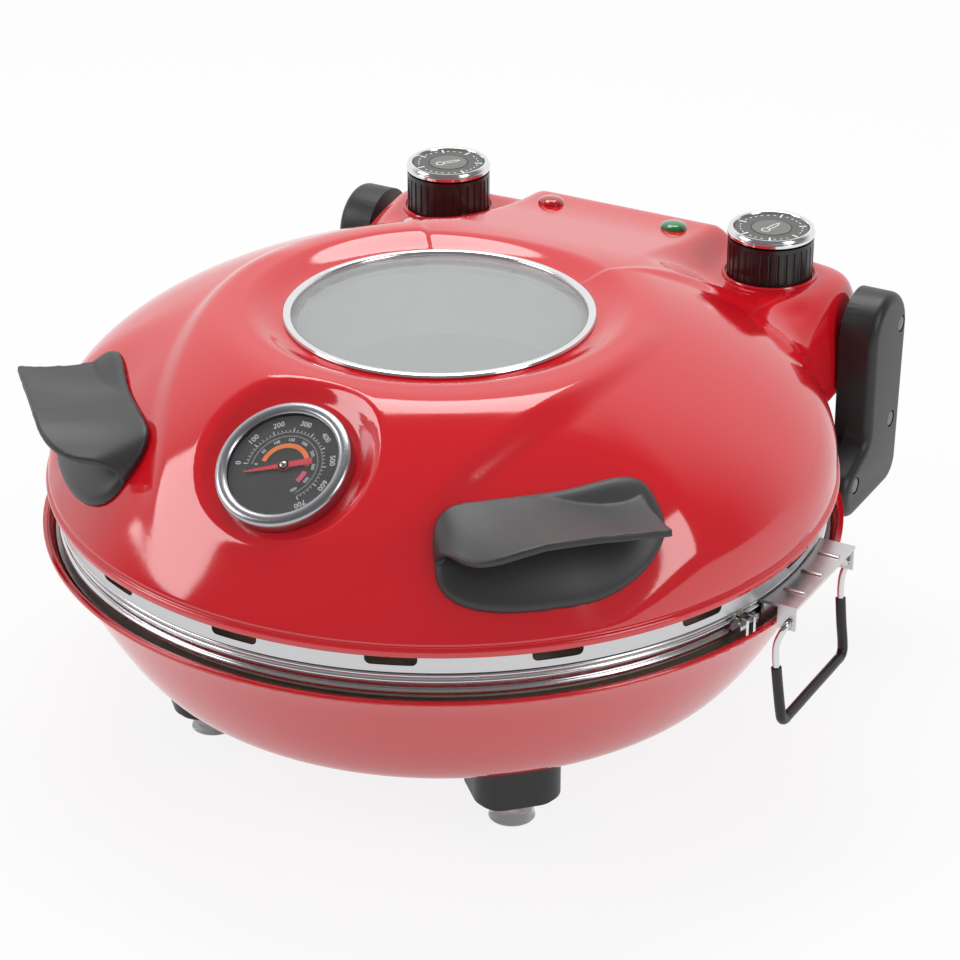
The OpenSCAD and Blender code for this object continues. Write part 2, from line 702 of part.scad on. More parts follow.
function reflector_z(r) = mix(reflector_step[1], reflector_step[3],
    (reflector_step[0] - r) / (reflector_step[0] - reflector_step[2]));

module upper_reflector() {
    low = [[liner_out - 4, liner_top_z], [stone_r - 10, liner_top_z], [reflector_step[0], reflector_step[1]],
        [reflector_step[2], reflector_step[3]], [tunnel_r + 6, reflector_step[3] + 4],
        [tunnel_r - reflector_t, reflector_step[3] + 9], [tunnel_r - reflector_t, seal_z]];
    high = [[tunnel_r, seal_z], [tunnel_r, reflector_step[3] + 9.4],
        [tunnel_r + 6.3, reflector_step[3] + 4.8], [reflector_step[2], reflector_step[3] + reflector_t],
        [reflector_step[0], reflector_step[1] + reflector_t],
        [stone_r - 9.7, liner_top_z + reflector_t], [liner_out - 4, liner_top_z + reflector_t]];
    color(steel_dull) difference() {
        rotate_extrude() polygon(concat(low, high));
        for (a = [90 - element_gap, 90 + element_gap])
            translate(polar(up_element_r, a, up_element_z)) cylinder(d = element_d + 3, h = 20, $fn = 32);
        at_gauge() translate([0, 0, -probe_len - 30]) cylinder(r = probe_r + 2, h = probe_len + 25, $fn = 32);
    }
}

module upper_element() {
    color([0.25, 0.24, 0.24]) element_ring(up_element_r, up_element_z, 22);
}

module upper_element_clips() {
    clip_w = 8;
    top = reflector_z(up_element_r + clip_w / 2) - 0.1;
    color(steel_dull) for (a = [0, 180, 315]) rotate(a)
        translate([up_element_r - clip_w / 2, -clip_w / 2, up_element_z]) difference() {
            cube([clip_w, clip_w, top - up_element_z]);
            translate([clip_w / 2, -1, 0]) rotate([-90, 0, 0])
                cylinder(d = element_d + 2 * gap, h = clip_w + 2, $fn = 32);
        }
}

underside_t = 2;
module rear_underside() {
    steps = 60;
    color(plastic_black) translate([0, 0, lid_z + 0.2]) linear_extrude(underside_t) difference() {
        polygon([for (i = [0 : steps]) let (phi = 30 + 120 * i / steps, r = outline_r(phi, lid_t + 2.5 * gap))
            [r * cos(phi), r * sin(phi)]]);
        circle(liner_out + gap, $fn = 144);
    }
}

// ---- Window ----
module window_ring() {
    ring_in = window_r - 1.8;
    ring_out = window_r + 2.5;
    color(steel_bright) translate([0, window_y, window_edge_z + 0.2]) rotate_extrude()
        polygon([[ring_in, 0], [ring_out, 0], [ring_out, 1.2], [ring_out - 0.8, 2], [ring_in + 0.8, 2],
            [ring_in, 1.2]]);
}

module window_glass() {
    color([0.8, 0.85, 0.85, 0.4]) translate([0, window_y, window_edge_z - glass_t])
        cylinder(r = window_r - 0.25, h = glass_t);
}

module window_seal() {
    color([0.7, 0.7, 0.7]) translate([0, window_y, seal_z + 0.1]) rotate_extrude()
        translate([window_r - 4, 0]) square([3.75, seal_t - 0.1]);
}

// ---- Handles ----
plate_steps = 44;
function corner_reach(a, p) = 1 / pow(pow(abs(cos(a)), p) + pow(abs(sin(a)), p), 1 / p);
// A point over the lid: q is the share of the way from the plate's middle to its edge
function plate_xy(q, a) = let (k = q * corner_reach(a, 3.4), r = plate_r + k * plate_half_r * sin(a),
        phi = 270 + handle_turn + k * plate_half_w * cos(a) / plate_r * 180 / PI)
    [r * cos(phi), r * sin(phi)];
function plate_point(q, a, lift) = let (p = plate_xy(q, a))
    [p[0], p[1], lid_top(p[0], p[1])] + lid_normal(p[0], p[1]) * lift;
function plate_ring(q, lift) = [for (i = [0 : plate_steps - 1]) plate_point(q, 360 * i / plate_steps, lift)];

// A closed pad: rings from the middle of its top, over its edge, to the middle of its underside
module pad(rings, top_mid, low_mid) {
    n = len(rings[0]);
    m = len(rings);
    points = concat([for (ring = rings, p = ring) p], [top_mid, low_mid]);
    polyhedron(points, concat(
        [for (i = [0 : m - 2], j = [0 : n - 1])
            let (a = i * n + j, b = i * n + (j + 1) % n, c = b + n, d = a + n) each [[a, c, b], [a, d, c]]],
        [for (j = [0 : n - 1]) [m * n, j, (j + 1) % n]],
        [for (j = [0 : n - 1]) [m * n + 1, (m - 1) * n + (j + 1) % n, (m - 1) * n + j]]));
}

wing_steps = 12;
wing_front = 4.5 - plate_half_w;   // ends of the wing along the plate
wing_back = plate_half_w - 7.5;
wing_root_r = plate_r - 8.1;
wing_tuck = 32;     // how far the front corner is drawn in
// Place along the plate, outward reach and height of the wing's edge and root at share t
wing_base = handle_xy(0, plate_r);
wing_z = lid_top(wing_base[0], wing_base[1]) + wing_rise;
function wing_u(t) = mix(wing_front, wing_back, pow(t, 1.25));
function wing_bend(u) = min(1, max(0, (-11 - u) / (-11 - wing_front)));
function wing_edge(t) = let (
        u = wing_u(t),
        f = wing_bend(u),
        q = handle_xy(u, wing_r - wing_tuck * pow(f, 4)),
        low = lid_top(q[0], q[1]) + 3 * gap + wing_t / 2)
    [q[0], q[1], max(low, wing_z - wing_t / 2 - wing_droop * pow(f, 1.6) - max(0, u - 11) * 0.05)];
function wing_root(t) = let (
        u = wing_u(t),
        q = handle_xy(u, sqrt(wing_root_r * wing_root_r - u * u)),
        low = lid_top(q[0], q[1]) + 3 * gap + wing_t / 2)
    [q[0], q[1], max(low, wing_z - wing_t / 2 - 1.6 - 1.5 * wing_bend(u))];

module handle() {
    lifts = [[0.35, 1], [0.6, 0.97], [0.8, 0.9], [0.92, 0.72], [0.985, 0.45], [1, 0.2]];
    mid = plate_xy(0, 0);
    rings = concat(
        [for (k = lifts) plate_ring(k[0], gap + plate_t * k[1])],
        [for (q = [0.985, 0.85, 0.7, 0.55, 0.4, 0.25, 0.1]) plate_ring(q, 2 * gap)]);
    color(plastic_black) union() {
        pad(rings, plate_point(0, 0, gap + plate_t), plate_point(0, 0, 2 * gap));
        for (i = [0 : wing_steps - 1]) hull() for (t = [i, i + 1] / wing_steps) {
            translate(wing_root(t)) sphere(d = wing_t, $fn = 12);
            translate(wing_edge(t)) sphere(d = wing_t, $fn = 12);
        }
    }
}

// ---- Thermometer ----
case_t = 1;
module gauge_case() {
    color(steel_dull) at_gauge() translate([0, 0, -bezel_h]) difference() {
        cylinder(r = bezel_r - 1.6, h = bezel_h - 1.8);
        translate([0, 0, case_t]) cylinder(r = dial_r + 0.9, h = bezel_h);
        translate([0, 0, -1]) cylinder(r = probe_r + 0.05, h = 5, $fn = 32);
    }
}

module gauge_bezel() {
    color(steel_bright) at_gauge() rotate_extrude() polygon([[bezel_r - 1.5, -bezel_h], [bezel_r, -bezel_h],
        [bezel_r, -1.6], [bezel_r - 1.4, 0], [dial_r + 0.8, 0], [dial_r, -1], [dial_r, -1.7],
        [bezel_r - 1.5, -1.7]]);
}

dial_z = -4.4;
needle_z = -3.4;
spindle_r = 0.9;
needle_rest = 25;   // turn of the needle at the low end of its scale
module gauge_dial() {
    color([0.06, 0.06, 0.07]) at_gauge() translate([0, 0, dial_z - 0.4]) difference() {
        union() {
            cylinder(r = dial_r + 0.7, h = 0.4);
            translate([0, 0, case_t + 0.1 - bezel_h - dial_z + 0.4])
                cylinder(r = 8, h = bezel_h + dial_z - case_t - 0.4);
        }
        translate([0, 0, -8]) cylinder(r = spindle_r + hole_play, h = 12, $fn = 32);
    }
}

module gauge_glass() {
    color([0.85, 0.88, 0.9, 0.3]) at_gauge() translate([0, 0, -2.7]) cylinder(r = dial_r + 0.7, h = 0.9);
}

module gauge_probe() {
    color(steel_bright) at_gauge() translate([0, 0, case_t - bezel_h - probe_len])
        cylinder(r = probe_r, h = probe_len, $fn = 48);
}

module gauge_nut() {
    color(steel_dull) at_gauge() translate([0, 0, -bezel_h - gap - lid_t - 4.2]) difference() {
        cylinder(r = 6.5, h = 4, $fn = 6);
        translate([0, 0, -1]) cylinder(r = probe_r + 0.05, h = 6, $fn = 32);
    }
}

module gauge_needle() {
    tip = dial_r - 7;
    tail = dial_r - 12;
    color([0.85, 0.05, 0.1]) at_gauge() {
        translate([0, 0, needle_z]) rotate(needle_rest) linear_extrude(0.4)
            polygon([[-tip, 0.3], [-tip, -0.3], [0, -1.2], [tail, -1.5], [tail, 1.5], [0, 1.2]]);
        translate([0, 0, dial_z - 1]) cylinder(r = spindle_r, h = needle_z - dial_z + 1 + eps, $fn = 32);
        translate([0, 0, needle_z]) cylinder(r = 2.4, h = 0.7, $fn = 48);
    }
}

// ---- Knobs and their units ----
unit_size = [34, 30, 20];
unit_top = knob_seat_z - lid_t - gap;
ring_drop = 4.8;
module unit() {
    translate([-unit_size[0] / 2, -unit_size[1] / 2, unit_top - unit_size[2]]) difference() {
        cube(unit_size);
        translate([unit_size[0] / 2, unit_size[1] / 2, unit_size[2] - 12])
            cylinder(r = shaft_r + pin_play, h = 20, $fn = 48);
    }
}

module timer_unit() {
    color([0.9, 0.9, 0.88]) translate([knob_x, knob_y, 0]) unit();
}

module thermostat_unit() {
    color([0.6, 0.55, 0.4]) translate([-knob_x, knob_y, 0]) unit();
}

module knob() {
    groove_r = 0.8;
    neck_r = face_r - 0.1;
    color(plastic_black) {
        difference() {
            union() {
                translate([0, 0, knob_seat_z + 0.5])
                    cylinder(r = knob_r, h = knob_top_z - ring_drop - knob_seat_z - 0.5);
                cylinder(r = neck_r, h = knob_top_z - 2.5);
            }
            translate([0, 0, -1]) cylinder(r = far, h = knob_seat_z + 1.5);
            for (k = [0 : knob_grooves - 1]) rotate(360 * k / knob_grooves)
                translate([knob_r + 0.2, 0, knob_seat_z + 2])
                    cylinder(r = groove_r, h = knob_top_z - ring_drop - knob_seat_z - 4, $fn = 16);
        }
        translate([0, 0, unit_top - 10]) cylinder(r = shaft_r, h = knob_seat_z - unit_top + 12, $fn = 48);
    }
}

module knob_ring() {
    out = knob_r + 0.3;
    color(steel_bright) translate([0, 0, knob_top_z]) rotate_extrude() polygon([[face_r, -ring_drop + 0.1],
        [out, -ring_drop + 0.1], [out, -1.4], [out - 1.2, 0], [face_r + 0.8, 0], [face_r, -0.8]]);
}

module knob_face() {
    color([0.16, 0.16, 0.17]) translate([0, 0, knob_top_z - 2.4]) difference() {
        cylinder(r = face_r - 0.1, h = 1.6);
        rotate(30) translate([face_r - 6, -0.6, 1.2]) cube([5, 1.2, 1]);
    }
}

module timer_knob() { translate([knob_x, knob_y, 0]) knob(); }
module timer_knob_ring() { translate([knob_x, knob_y, 0]) knob_ring(); }
module timer_knob_face() { translate([knob_x, knob_y, 0]) knob_face(); }
module thermostat_knob() { translate([-knob_x, knob_y, 0]) knob(); }
module thermostat_knob_ring() { translate([-knob_x, knob_y, 0]) knob_ring(); }
module thermostat_knob_face() { translate([-knob_x, knob_y, 0]) knob_face(); }

// ---- Indicator lights ----
lens_stem = 9;
module lens(shade) {
    dome_h = 2.6;
    rim = lens_r + 0.9;
    color(shade) rotate_extrude($fn = 64) polygon(concat(
        [[0, -lens_stem], [lens_r, -lens_stem], [lens_r, 0.5], [rim, 0.5]],
        [for (i = [0 : 8]) [rim * cos(90 * i / 8), 1 + dome_h * sin(90 * i / 8)]]));
}

module red_lens() { at_light(-1) lens([0.85, 0.05, 0.08]); }
module green_lens() { at_light(1) lens([0.05, 0.55, 0.2]); }

module lamp_holders() {
    holder_h = 18;
    color([0.9, 0.9, 0.88]) for (side = [-1, 1]) at_light(side)
        translate([0, 0, -lid_t - 0.8 - holder_h]) difference() {
            cylinder(r = lens_r + 2.4, h = holder_h, $fn = 64);
            translate([0, 0, 3]) cylinder(r = lens_r + 0.1, h = holder_h, $fn = 64);
        }
}

// ---- Hinge arms ----
// The arm's outline lies in the YZ plane: four round ends joined by straight flanks
arm_top = [hinge_y, hinge_z];
arm_heel = [hinge_y + 4.5, hinge_z - 67.5];
arm_knee = [hinge_y - 7, hinge_z - 57];
arm_nose = [hinge_y - 33.5, hinge_z - 68];
arm_low_r = 12.5;
inner_w = 5;
plate_gap = 0.2;
hinge_plate_t = 2.5;
arm_screw_r = 1.5;
arm_post_r = 4.6;
recess_r = 4.1;
recess_depth = 1.2;
arm_screw_spots = [[hinge_y + 12, hinge_z + 1], [hinge_y + 5.8, hinge_z - 46],
    [hinge_y - 34.4, hinge_z - 64]];

// The outline runs round the top, down to the nose, back along the bottom and up the heel.
// Each flank is given by its outward direction a and its distance d from the origin.
function side_dir(p, pr, q, qr) = atan2(q[1] - p[1], q[0] - p[0]) - acos((pr - qr) / norm(q - p));
function reach(p, r, a) = p[0] * cos(a) + p[1] * sin(a) + r;
function meet(a, d, b, e) = [d * sin(b) - e * sin(a), e * cos(a) - d * cos(b)] / sin(b - a);
function arc(p, r, a, b) = let (n = ceil((b - a) / 7.5))
    [for (i = [0 : n]) p + r * [cos(mix(a, b, i / n)), sin(mix(a, b, i / n))]];

module arm_outline(inset) {
    low = arm_low_r - inset;
    top = arm_top_r - inset;
    back = side_dir(arm_heel, low, arm_top, top);
    front = side_dir(arm_top, top, arm_knee, low) + 360;
    shelf = side_dir(arm_knee, low, arm_nose, low) + 360;
    under = side_dir(arm_nose, low, arm_heel, low) + 360;
    crook = meet(front, reach(arm_top, top, front), shelf, reach(arm_nose, low, shelf));
    polygon(concat(arc(arm_top, top, back, front), [crook], arc(arm_nose, low, shelf, under),
        arc(arm_heel, low, under, back + 360)));
}

// Stands a YZ outline up at distance x on the right side, w thick
module along_x(x, w) {
    translate([x, 0, 0]) rotate([90, 0, 90]) linear_extrude(w) children();
}
module bore_x(x, w, spot, r) {
    translate([x, spot[0], spot[1]]) rotate([0, 90, 0]) cylinder(r = r, h = w, $fn = 48);
}

module arm_inner() {
    color(plastic_black) difference() {
        along_x(arm_x, inner_w) arm_outline(0);
        bore_x(arm_x - 1, inner_w + 2, arm_top, pin_r + hole_play);
        for (spot = arm_screw_spots) bore_x(arm_x + 1, inner_w, spot, arm_screw_r + 0.05);
    }
}

module arm_outer() {
    x0 = arm_x + inner_w;
    w = arm_w - inner_w;
    color(plastic_black) difference() {
        along_x(x0, w) arm_outline(0);
        difference() {
            along_x(x0 - 1, w - arm_wall + 1) arm_outline(arm_wall);
            for (spot = arm_screw_spots) bore_x(x0, w, spot, arm_post_r);
        }
        for (spot = arm_screw_spots) {
            bore_x(x0 - 1, w + 2, spot, arm_screw_r + hole_play);
            bore_x(x0 + w - recess_depth, recess_depth + 1, spot, recess_r);
        }
    }
}

module hinge_plate() {
    inset = arm_wall + 2;
    color(steel_dull) difference() {
        along_x(arm_x + inner_w + plate_gap, hinge_plate_t) arm_outline(inset);
        bore_x(arm_x, inner_w + 10, arm_top, pin_r + pin_play);
        for (spot = arm_screw_spots) bore_x(arm_x, inner_w + 10, spot, arm_post_r + gap);
    }
}

module arm_mount() {
    top = rim_z - 9;
    low = rim_z - 28;
    color(plastic_black) difference() {
        translate([0, 0, low]) linear_extrude(top - low)
            polygon([[arm_x, arm_nose[0] - 9], [arm_x, arm_nose[0] + 16], [arm_x - 16, arm_nose[0] + 12],
                [arm_x - 26, arm_nose[0] - 4], [arm_x - 14, arm_nose[0] - 16]]);
        bowl_solid(-gap);
    }
}

module arm_screws() {
    head_h = 0.9;
    head_x = arm_x + arm_w - recess_depth;
    color(steel_dull) for (side = [-1, 1]) across(side) for (spot = arm_screw_spots) {
        bore_x(head_x, head_h, spot, recess_r - 0.4);
        bore_x(arm_x + 1.5, arm_w - recess_depth - 1.5 + eps, spot, arm_screw_r);
    }
}

lug_in = arm_x - 18.5;
lug_out = arm_x - 10.5;
module hinge_lugs() {
    lug_w = 15;
    lug_back = 6;   // how far it reaches behind the hinge axis
    base_z = lid_z + 0.2 + underside_t;
    color(steel_dull) for (side = [-1, 1]) across(side) difference() {
        translate([lug_in, hinge_y + lug_back - lug_w, base_z])
            cube([lug_out - lug_in, lug_w, hinge_z + 6 - base_z]);
        bore_x(lug_in - 1, lug_out - lug_in + 2, arm_top, pin_r + 0.02);
    }
}

module hinge_pins() {
    head_t = 1.5;
    pin_end = arm_x + inner_w + hinge_plate_t + 4;
    color(steel_bright) for (side = [-1, 1]) across(side) {
        bore_x(lug_in - head_t, pin_end - lug_in + head_t, arm_top, pin_r);
        bore_x(lug_in - head_t, head_t, arm_top, pin_r + 2);
    }
}

module loop_bracket_right() { loop_bracket(); }
module loop_bracket_left() { across(-1) loop_bracket(); }
module carry_loop_right() { carry_loop(); }
module carry_loop_left() { across(-1) carry_loop(); }
module loop_sleeve_right() { loop_sleeve(); }
module loop_sleeve_left() { across(-1) loop_sleeve(); }
module arm_mount_right() { arm_mount(); }
module arm_mount_left() { across(-1) arm_mount(); }
module arm_inner_right() { arm_inner(); }
module arm_inner_left() { across(-1) arm_inner(); }
module arm_outer_right() { arm_outer(); }
module arm_outer_left() { across(-1) arm_outer(); }
module hinge_plate_right() { hinge_plate(); }
module hinge_plate_left() { across(-1) hinge_plate(); }
module handle_right() { handle(); }
module handle_left() { across(-1) handle(); }

lower_bowl();
heat_shield();
lower_element();
lower_element_clips();
terminal_block();
feet();
suction_cups();
foot_screws();
inlet_gland();
pizza_stone();
stone_hoop();
hoop_bolt();
hoop_nut();
loop_bracket_right();
loop_bracket_left();
carry_loop_right();
carry_loop_left();
loop_sleeve_right();
loop_sleeve_left();
arm_mount_right();
arm_mount_left();
arm_inner_right();
arm_inner_left();
arm_outer_right();
arm_outer_left();
hinge_plate_right();
hinge_plate_left();
arm_screws();
lid_cover();
lid_liner();
upper_reflector();
upper_element();
upper_element_clips();
rear_underside();
hinge_lugs();
hinge_pins();
window_ring();
window_glass();
window_seal();
handle_right();
handle_left();
gauge_case();
gauge_bezel();
gauge_dial();
gauge_glass();
gauge_probe();
gauge_nut();
gauge_needle();
timer_unit();
thermostat_unit();
timer_knob();
timer_knob_ring();
timer_knob_face();
thermostat_knob();
thermostat_knob_ring();
thermostat_knob_face();
red_lens();
green_lens();
lamp_holders();
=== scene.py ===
# %% [markdown]
# # An electric pizza maker, dressed for its portrait
# The real object is a shallow enamelled bowl on four feet with a stone in it, and a domed
# enamelled lid that swings up on two black arms at the back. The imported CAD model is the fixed
# frame: every piece made here is put where the CAD says, in the same frame, in metres.

# %% Load the frame
import math
import bpy
import numpy as np
from mathutils import Matrix, Vector


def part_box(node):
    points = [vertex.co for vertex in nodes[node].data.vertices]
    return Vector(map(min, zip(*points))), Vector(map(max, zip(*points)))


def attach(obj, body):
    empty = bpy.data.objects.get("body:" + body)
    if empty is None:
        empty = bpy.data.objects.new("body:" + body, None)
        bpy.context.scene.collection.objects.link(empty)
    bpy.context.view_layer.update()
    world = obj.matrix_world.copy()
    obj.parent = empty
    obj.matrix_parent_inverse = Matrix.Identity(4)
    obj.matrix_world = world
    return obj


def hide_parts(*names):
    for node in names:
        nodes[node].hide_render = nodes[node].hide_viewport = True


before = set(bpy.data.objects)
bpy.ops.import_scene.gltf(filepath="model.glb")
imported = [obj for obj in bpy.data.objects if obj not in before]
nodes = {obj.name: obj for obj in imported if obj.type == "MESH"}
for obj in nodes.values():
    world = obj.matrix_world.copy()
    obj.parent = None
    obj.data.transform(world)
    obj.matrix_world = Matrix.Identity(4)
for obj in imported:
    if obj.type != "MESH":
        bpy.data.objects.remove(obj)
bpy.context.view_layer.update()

# %% [markdown]
# ## Camera
# The photograph was taken from the front right, a little above the object, with a long lens.
# The place was found by fitting the rim of the bowl and the feet, so it is a plain list of
# numbers here. Sizes in this lesson are in millimetres, as on a drawing, and MM turns them
# into Blender's metres at the end of each piece. RIM_Z is the height of the bowl's rim, which
# the CAD's lid gives, and every other height is counted from it.

# %% Set the camera
MM = 0.001
PHOTO_PX = 960
FOCAL_PX = 3110.4
LID_RISE = 19
RIM_Z = round(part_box("lid_cover")[0][2] / MM, 1) - LID_RISE
camera_spot = Vector((619.7, -1086.7, RIM_Z + 645.2)) * MM
camera_aim = Vector((14.27, 8.12, RIM_Z + 8.79)) * MM
camera_data = bpy.data.cameras.new("camera")
camera_data.sensor_width = 36
camera_data.lens = FOCAL_PX / PHOTO_PX * camera_data.sensor_width
camera_data.clip_start = 0.05
camera = bpy.data.objects.new("camera", camera_data)
camera.location = camera_spot
camera.rotation_euler = (camera_aim - camera_spot).to_track_quat("-Z", "Y").to_euler()
bpy.context.scene.collection.objects.link(camera)
bpy.context.scene.camera = camera
bpy.context.scene.view_settings.view_transform = "Standard"
print("lens", round(camera_data.lens, 1), "mm")

# %% [markdown]
# ## Small tools of the bench
# Blender's operators act on whatever is selected, so each piece starts by clearing the
# selection. The helpers below do that, read and write a mesh's points as one table, add a
# modifier and apply it, and hand a finished piece to the body that it moves with.


# %% Selection, points and modifiers
def clear():
    if bpy.context.mode != "OBJECT":
        bpy.ops.object.mode_set(mode="OBJECT")
    bpy.ops.object.select_all(action="DESELECT")


def active():
    return bpy.context.view_layer.objects.active


def focus(*pieces):
    clear()
    for piece in pieces:
        piece.select_set(True)
    bpy.context.view_layer.objects.active = pieces[0]
    return pieces[0]


def points(piece):
    table = np.empty(len(piece.data.vertices) * 3)
    piece.data.vertices.foreach_get("co", table)
    return table.reshape(-1, 3)


def put_points(piece, table):
    piece.data.vertices.foreach_set("co", np.asarray(table, float).ravel())
    piece.data.update()


def modify(piece, kind, **settings):
    focus(piece)
    step = piece.modifiers.new(kind.lower(), kind)
    for name, value in settings.items():
        setattr(step, name, value)
    bpy.ops.object.modifier_apply(modifier=step.name)
    return piece


def edit(piece, *steps):
    """Runs mesh operators on the whole piece in edit mode."""
    focus(piece)
    bpy.ops.object.mode_set(mode="EDIT")
    bpy.ops.mesh.select_all(action="SELECT")
    for step in steps:
        step()
    bpy.ops.object.mode_set(mode="OBJECT")
    return piece


def weld():
    bpy.ops.mesh.remove_doubles(threshold=0.001)


def outward():
    bpy.ops.mesh.normals_make_consistent(inside=False)


def join(*pieces):
    focus(*pieces)
    bpy.ops.object.join()
    return pieces[0]


def painted(piece, look):
    piece.data.materials.clear()
    piece.data.materials.append(look)
    return piece


def copy_of(piece, matrix):
    twin = bpy.data.objects.new(piece.name + "_copy", piece.data.copy())
    bpy.context.scene.collection.objects.link(twin)
    twin.data.transform(matrix)
    if matrix.determinant() < 0:
        twin.data.flip_normals()
    return twin


# %% [markdown]
# A ring of points that is extruded up its profile, one circle at a time, is how a lathe would
# work. It suits every round trim here: the window's ring, the bezel and the knobs' rings.


# %% Lathe, and handing a piece over
def lathe(profile, around=96, closed=True):
    """A round piece about Z from its profile of (radius, height) points."""
    clear()
    bpy.ops.mesh.primitive_circle_add(vertices=around, radius=profile[0][0], location=(0, 0, 0))
    piece = active()
    put_points(piece, points(piece) + [0, 0, profile[0][1]])
    bpy.ops.object.mode_set(mode="EDIT")
    bpy.ops.mesh.select_all(action="SELECT")
    for (r0, z0), (r1, z1) in zip(profile, profile[1:]):
        bpy.ops.mesh.extrude_edges_move(TRANSFORM_OT_translate={"value": (0, 0, z1 - z0)})
        bpy.ops.transform.resize(value=(r1 / r0, r1 / r0, 1))
    bpy.ops.object.mode_set(mode="OBJECT")
    if closed:
        edit(piece, lambda: bpy.ops.mesh.select_non_manifold(extend=False), bpy.ops.mesh.bridge_edge_loops)
    return edit(piece, weld, outward)


def hand_over(piece, name, body, look, stands_for=(), angle=35):
    """Scales a piece from millimetres to metres, smooths it and gives it to its body."""
    piece.name = piece.data.name = name
    focus(piece)
    bpy.ops.object.transform_apply(location=True, rotation=True, scale=True)
    piece.data.transform(Matrix.Scale(MM, 4))
    bpy.ops.object.shade_smooth_by_angle(angle=math.radians(angle))
    if look is not None:
        painted(piece, look)
    if stands_for:
        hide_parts(*stands_for)
    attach(piece, body)
    print(name, "on", body, "-", len(piece.data.polygons), "faces")
    return piece


# %% [markdown]
# ## Finishes
# One function turns a hex colour into the linear numbers that shaders want, and one adds a
# node with its settings and links. Every finish below starts from what the real one is.


# %% Colour and node helpers
def colour(code):
    channels = [int(code[i:i + 2], 16) / 255 for i in (1, 3, 5)]
    return [c / 12.92 if c <= 0.04045 else ((c + 0.055) / 1.055) ** 2.4 for c in channels] + [1]


def node(material, kind, settings=None, **links):
    """Adds a node; links are input name (spaces as _), or i and its number, = a value or an output."""
    tree = material.node_tree
    made = tree.nodes.new(kind)
    for name, value in (settings or {}).items():
        setattr(made, name, value)
    for name, value in links.items():
        numbered = name[0] == "i" and name[1:].isdigit()
        socket = made.inputs[int(name[1:]) if numbered else name.replace("_", " ")]
        if isinstance(value, bpy.types.NodeSocket):
            tree.links.new(value, socket)
        else:
            socket.default_value = value
    return made


def finish(name, base, roughness, metallic=0.0, **sockets):
    """A Principled surface; further sockets by name, with spaces as _."""
    material = bpy.data.materials.new(name)
    material.use_nodes = True
    shader = material.node_tree.nodes["Principled BSDF"]
    shader.inputs["Base Color"].default_value = colour(base)
    shader.inputs["Roughness"].default_value = roughness
    shader.inputs["Metallic"].default_value = metallic
    for socket, value in sockets.items():
        shader.inputs[socket.replace("_", " ")].default_value = value
    return material


def shader_of(material):
    return material.node_tree.nodes["Principled BSDF"]


def grain(material, size_mm, depth_mm, detail=2.0, stretch=(1, 1, 1), rough=None, mottle=None):
    """Noise of a real size: bumps of depth_mm, and if asked, roughness and colour that vary."""
    spot = node(material, "ShaderNodeTexCoord").outputs["Object"]
    scaled = node(material, "ShaderNodeMapping", Vector=spot, Scale=stretch).outputs["Vector"]
    noise = node(material, "ShaderNodeTexNoise", Vector=scaled, Scale=1 / (size_mm * MM), Detail=detail)
    bump = node(material, "ShaderNodeBump", Height=noise.outputs["Fac"], Distance=depth_mm * MM,
                Strength=1.0)
    links = material.node_tree.links
    links.new(bump.outputs["Normal"], shader_of(material).inputs["Normal"])
    if rough:
        spread = node(material, "ShaderNodeMapRange", Value=noise.outputs["Fac"],
                      To_Min=rough[0], To_Max=rough[1])
        links.new(spread.outputs["Result"], shader_of(material).inputs["Roughness"])
    if mottle:
        wide = node(material, "ShaderNodeTexNoise", Vector=scaled, Scale=1 / (mottle[2] * MM), Detail=4.0)
        mixed = node(material, "ShaderNodeMix", {"data_type": "RGBA"}, Factor=wide.outputs["Fac"])
        mixed.inputs[6].default_value = colour(mottle[0])
        mixed.inputs[7].default_value = colour(mottle[1])
        links.new(mixed.outputs[2], shader_of(material).inputs["Base Color"])
    return material


# %% [markdown]
# ### Enamel
# The bowl and the lid are sheet steel with red enamel fired on. Enamel is glass, so it has a
# clear hard gloss over a saturated red, and a faint orange peel about three millimetres across.
# Its pale reflections are strong, so its IOR is that of a dense lead glass.

# %% Red enamel
red_enamel = finish("fired_red_enamel", "#CE0F1E", 0.09, IOR=1.8)
grain(red_enamel, 3.0, 0.012)

# %% [markdown]
# ### Moulded plastic
# The grips, arms, feet and knobs are a heat-proof phenolic: charcoal, satin, with the fine
# texture of the mould. The knobs are glossier than the grips.

# %% Charcoal phenolic
grip_plastic = finish("textured_charcoal_phenolic", "#2E2E30", 0.42, IOR=1.55)
grain(grip_plastic, 0.45, 0.02, rough=(0.38, 0.5))
arm_plastic = finish("satin_charcoal_phenolic", "#1C1C1E", 0.38, IOR=1.55)
grain(arm_plastic, 0.5, 0.02, rough=(0.36, 0.48))
knob_plastic = finish("semi_gloss_black_phenolic", "#161617", 0.28, IOR=1.55)
grain(knob_plastic, 0.5, 0.01, rough=(0.24, 0.34))
plug_plastic = finish("grey_plug_plastic", "#6C6C6F", 0.4, IOR=1.5)
grain(plug_plastic, 0.6, 0.01)
foot_plastic = finish("black_foot_plastic", "#141416", 0.4, IOR=1.55)
grain(foot_plastic, 0.6, 0.02, rough=(0.36, 0.5))

# %% [markdown]
# ### Metals
# Chrome plating is nearly a mirror. The liner and the bracket are stainless sheet, rolled and
# brushed, so their grain runs along the strip and blurs what they reflect along one line. Real
# brush marks are far too fine to show, so these are drawn a third of a millimetre apart.

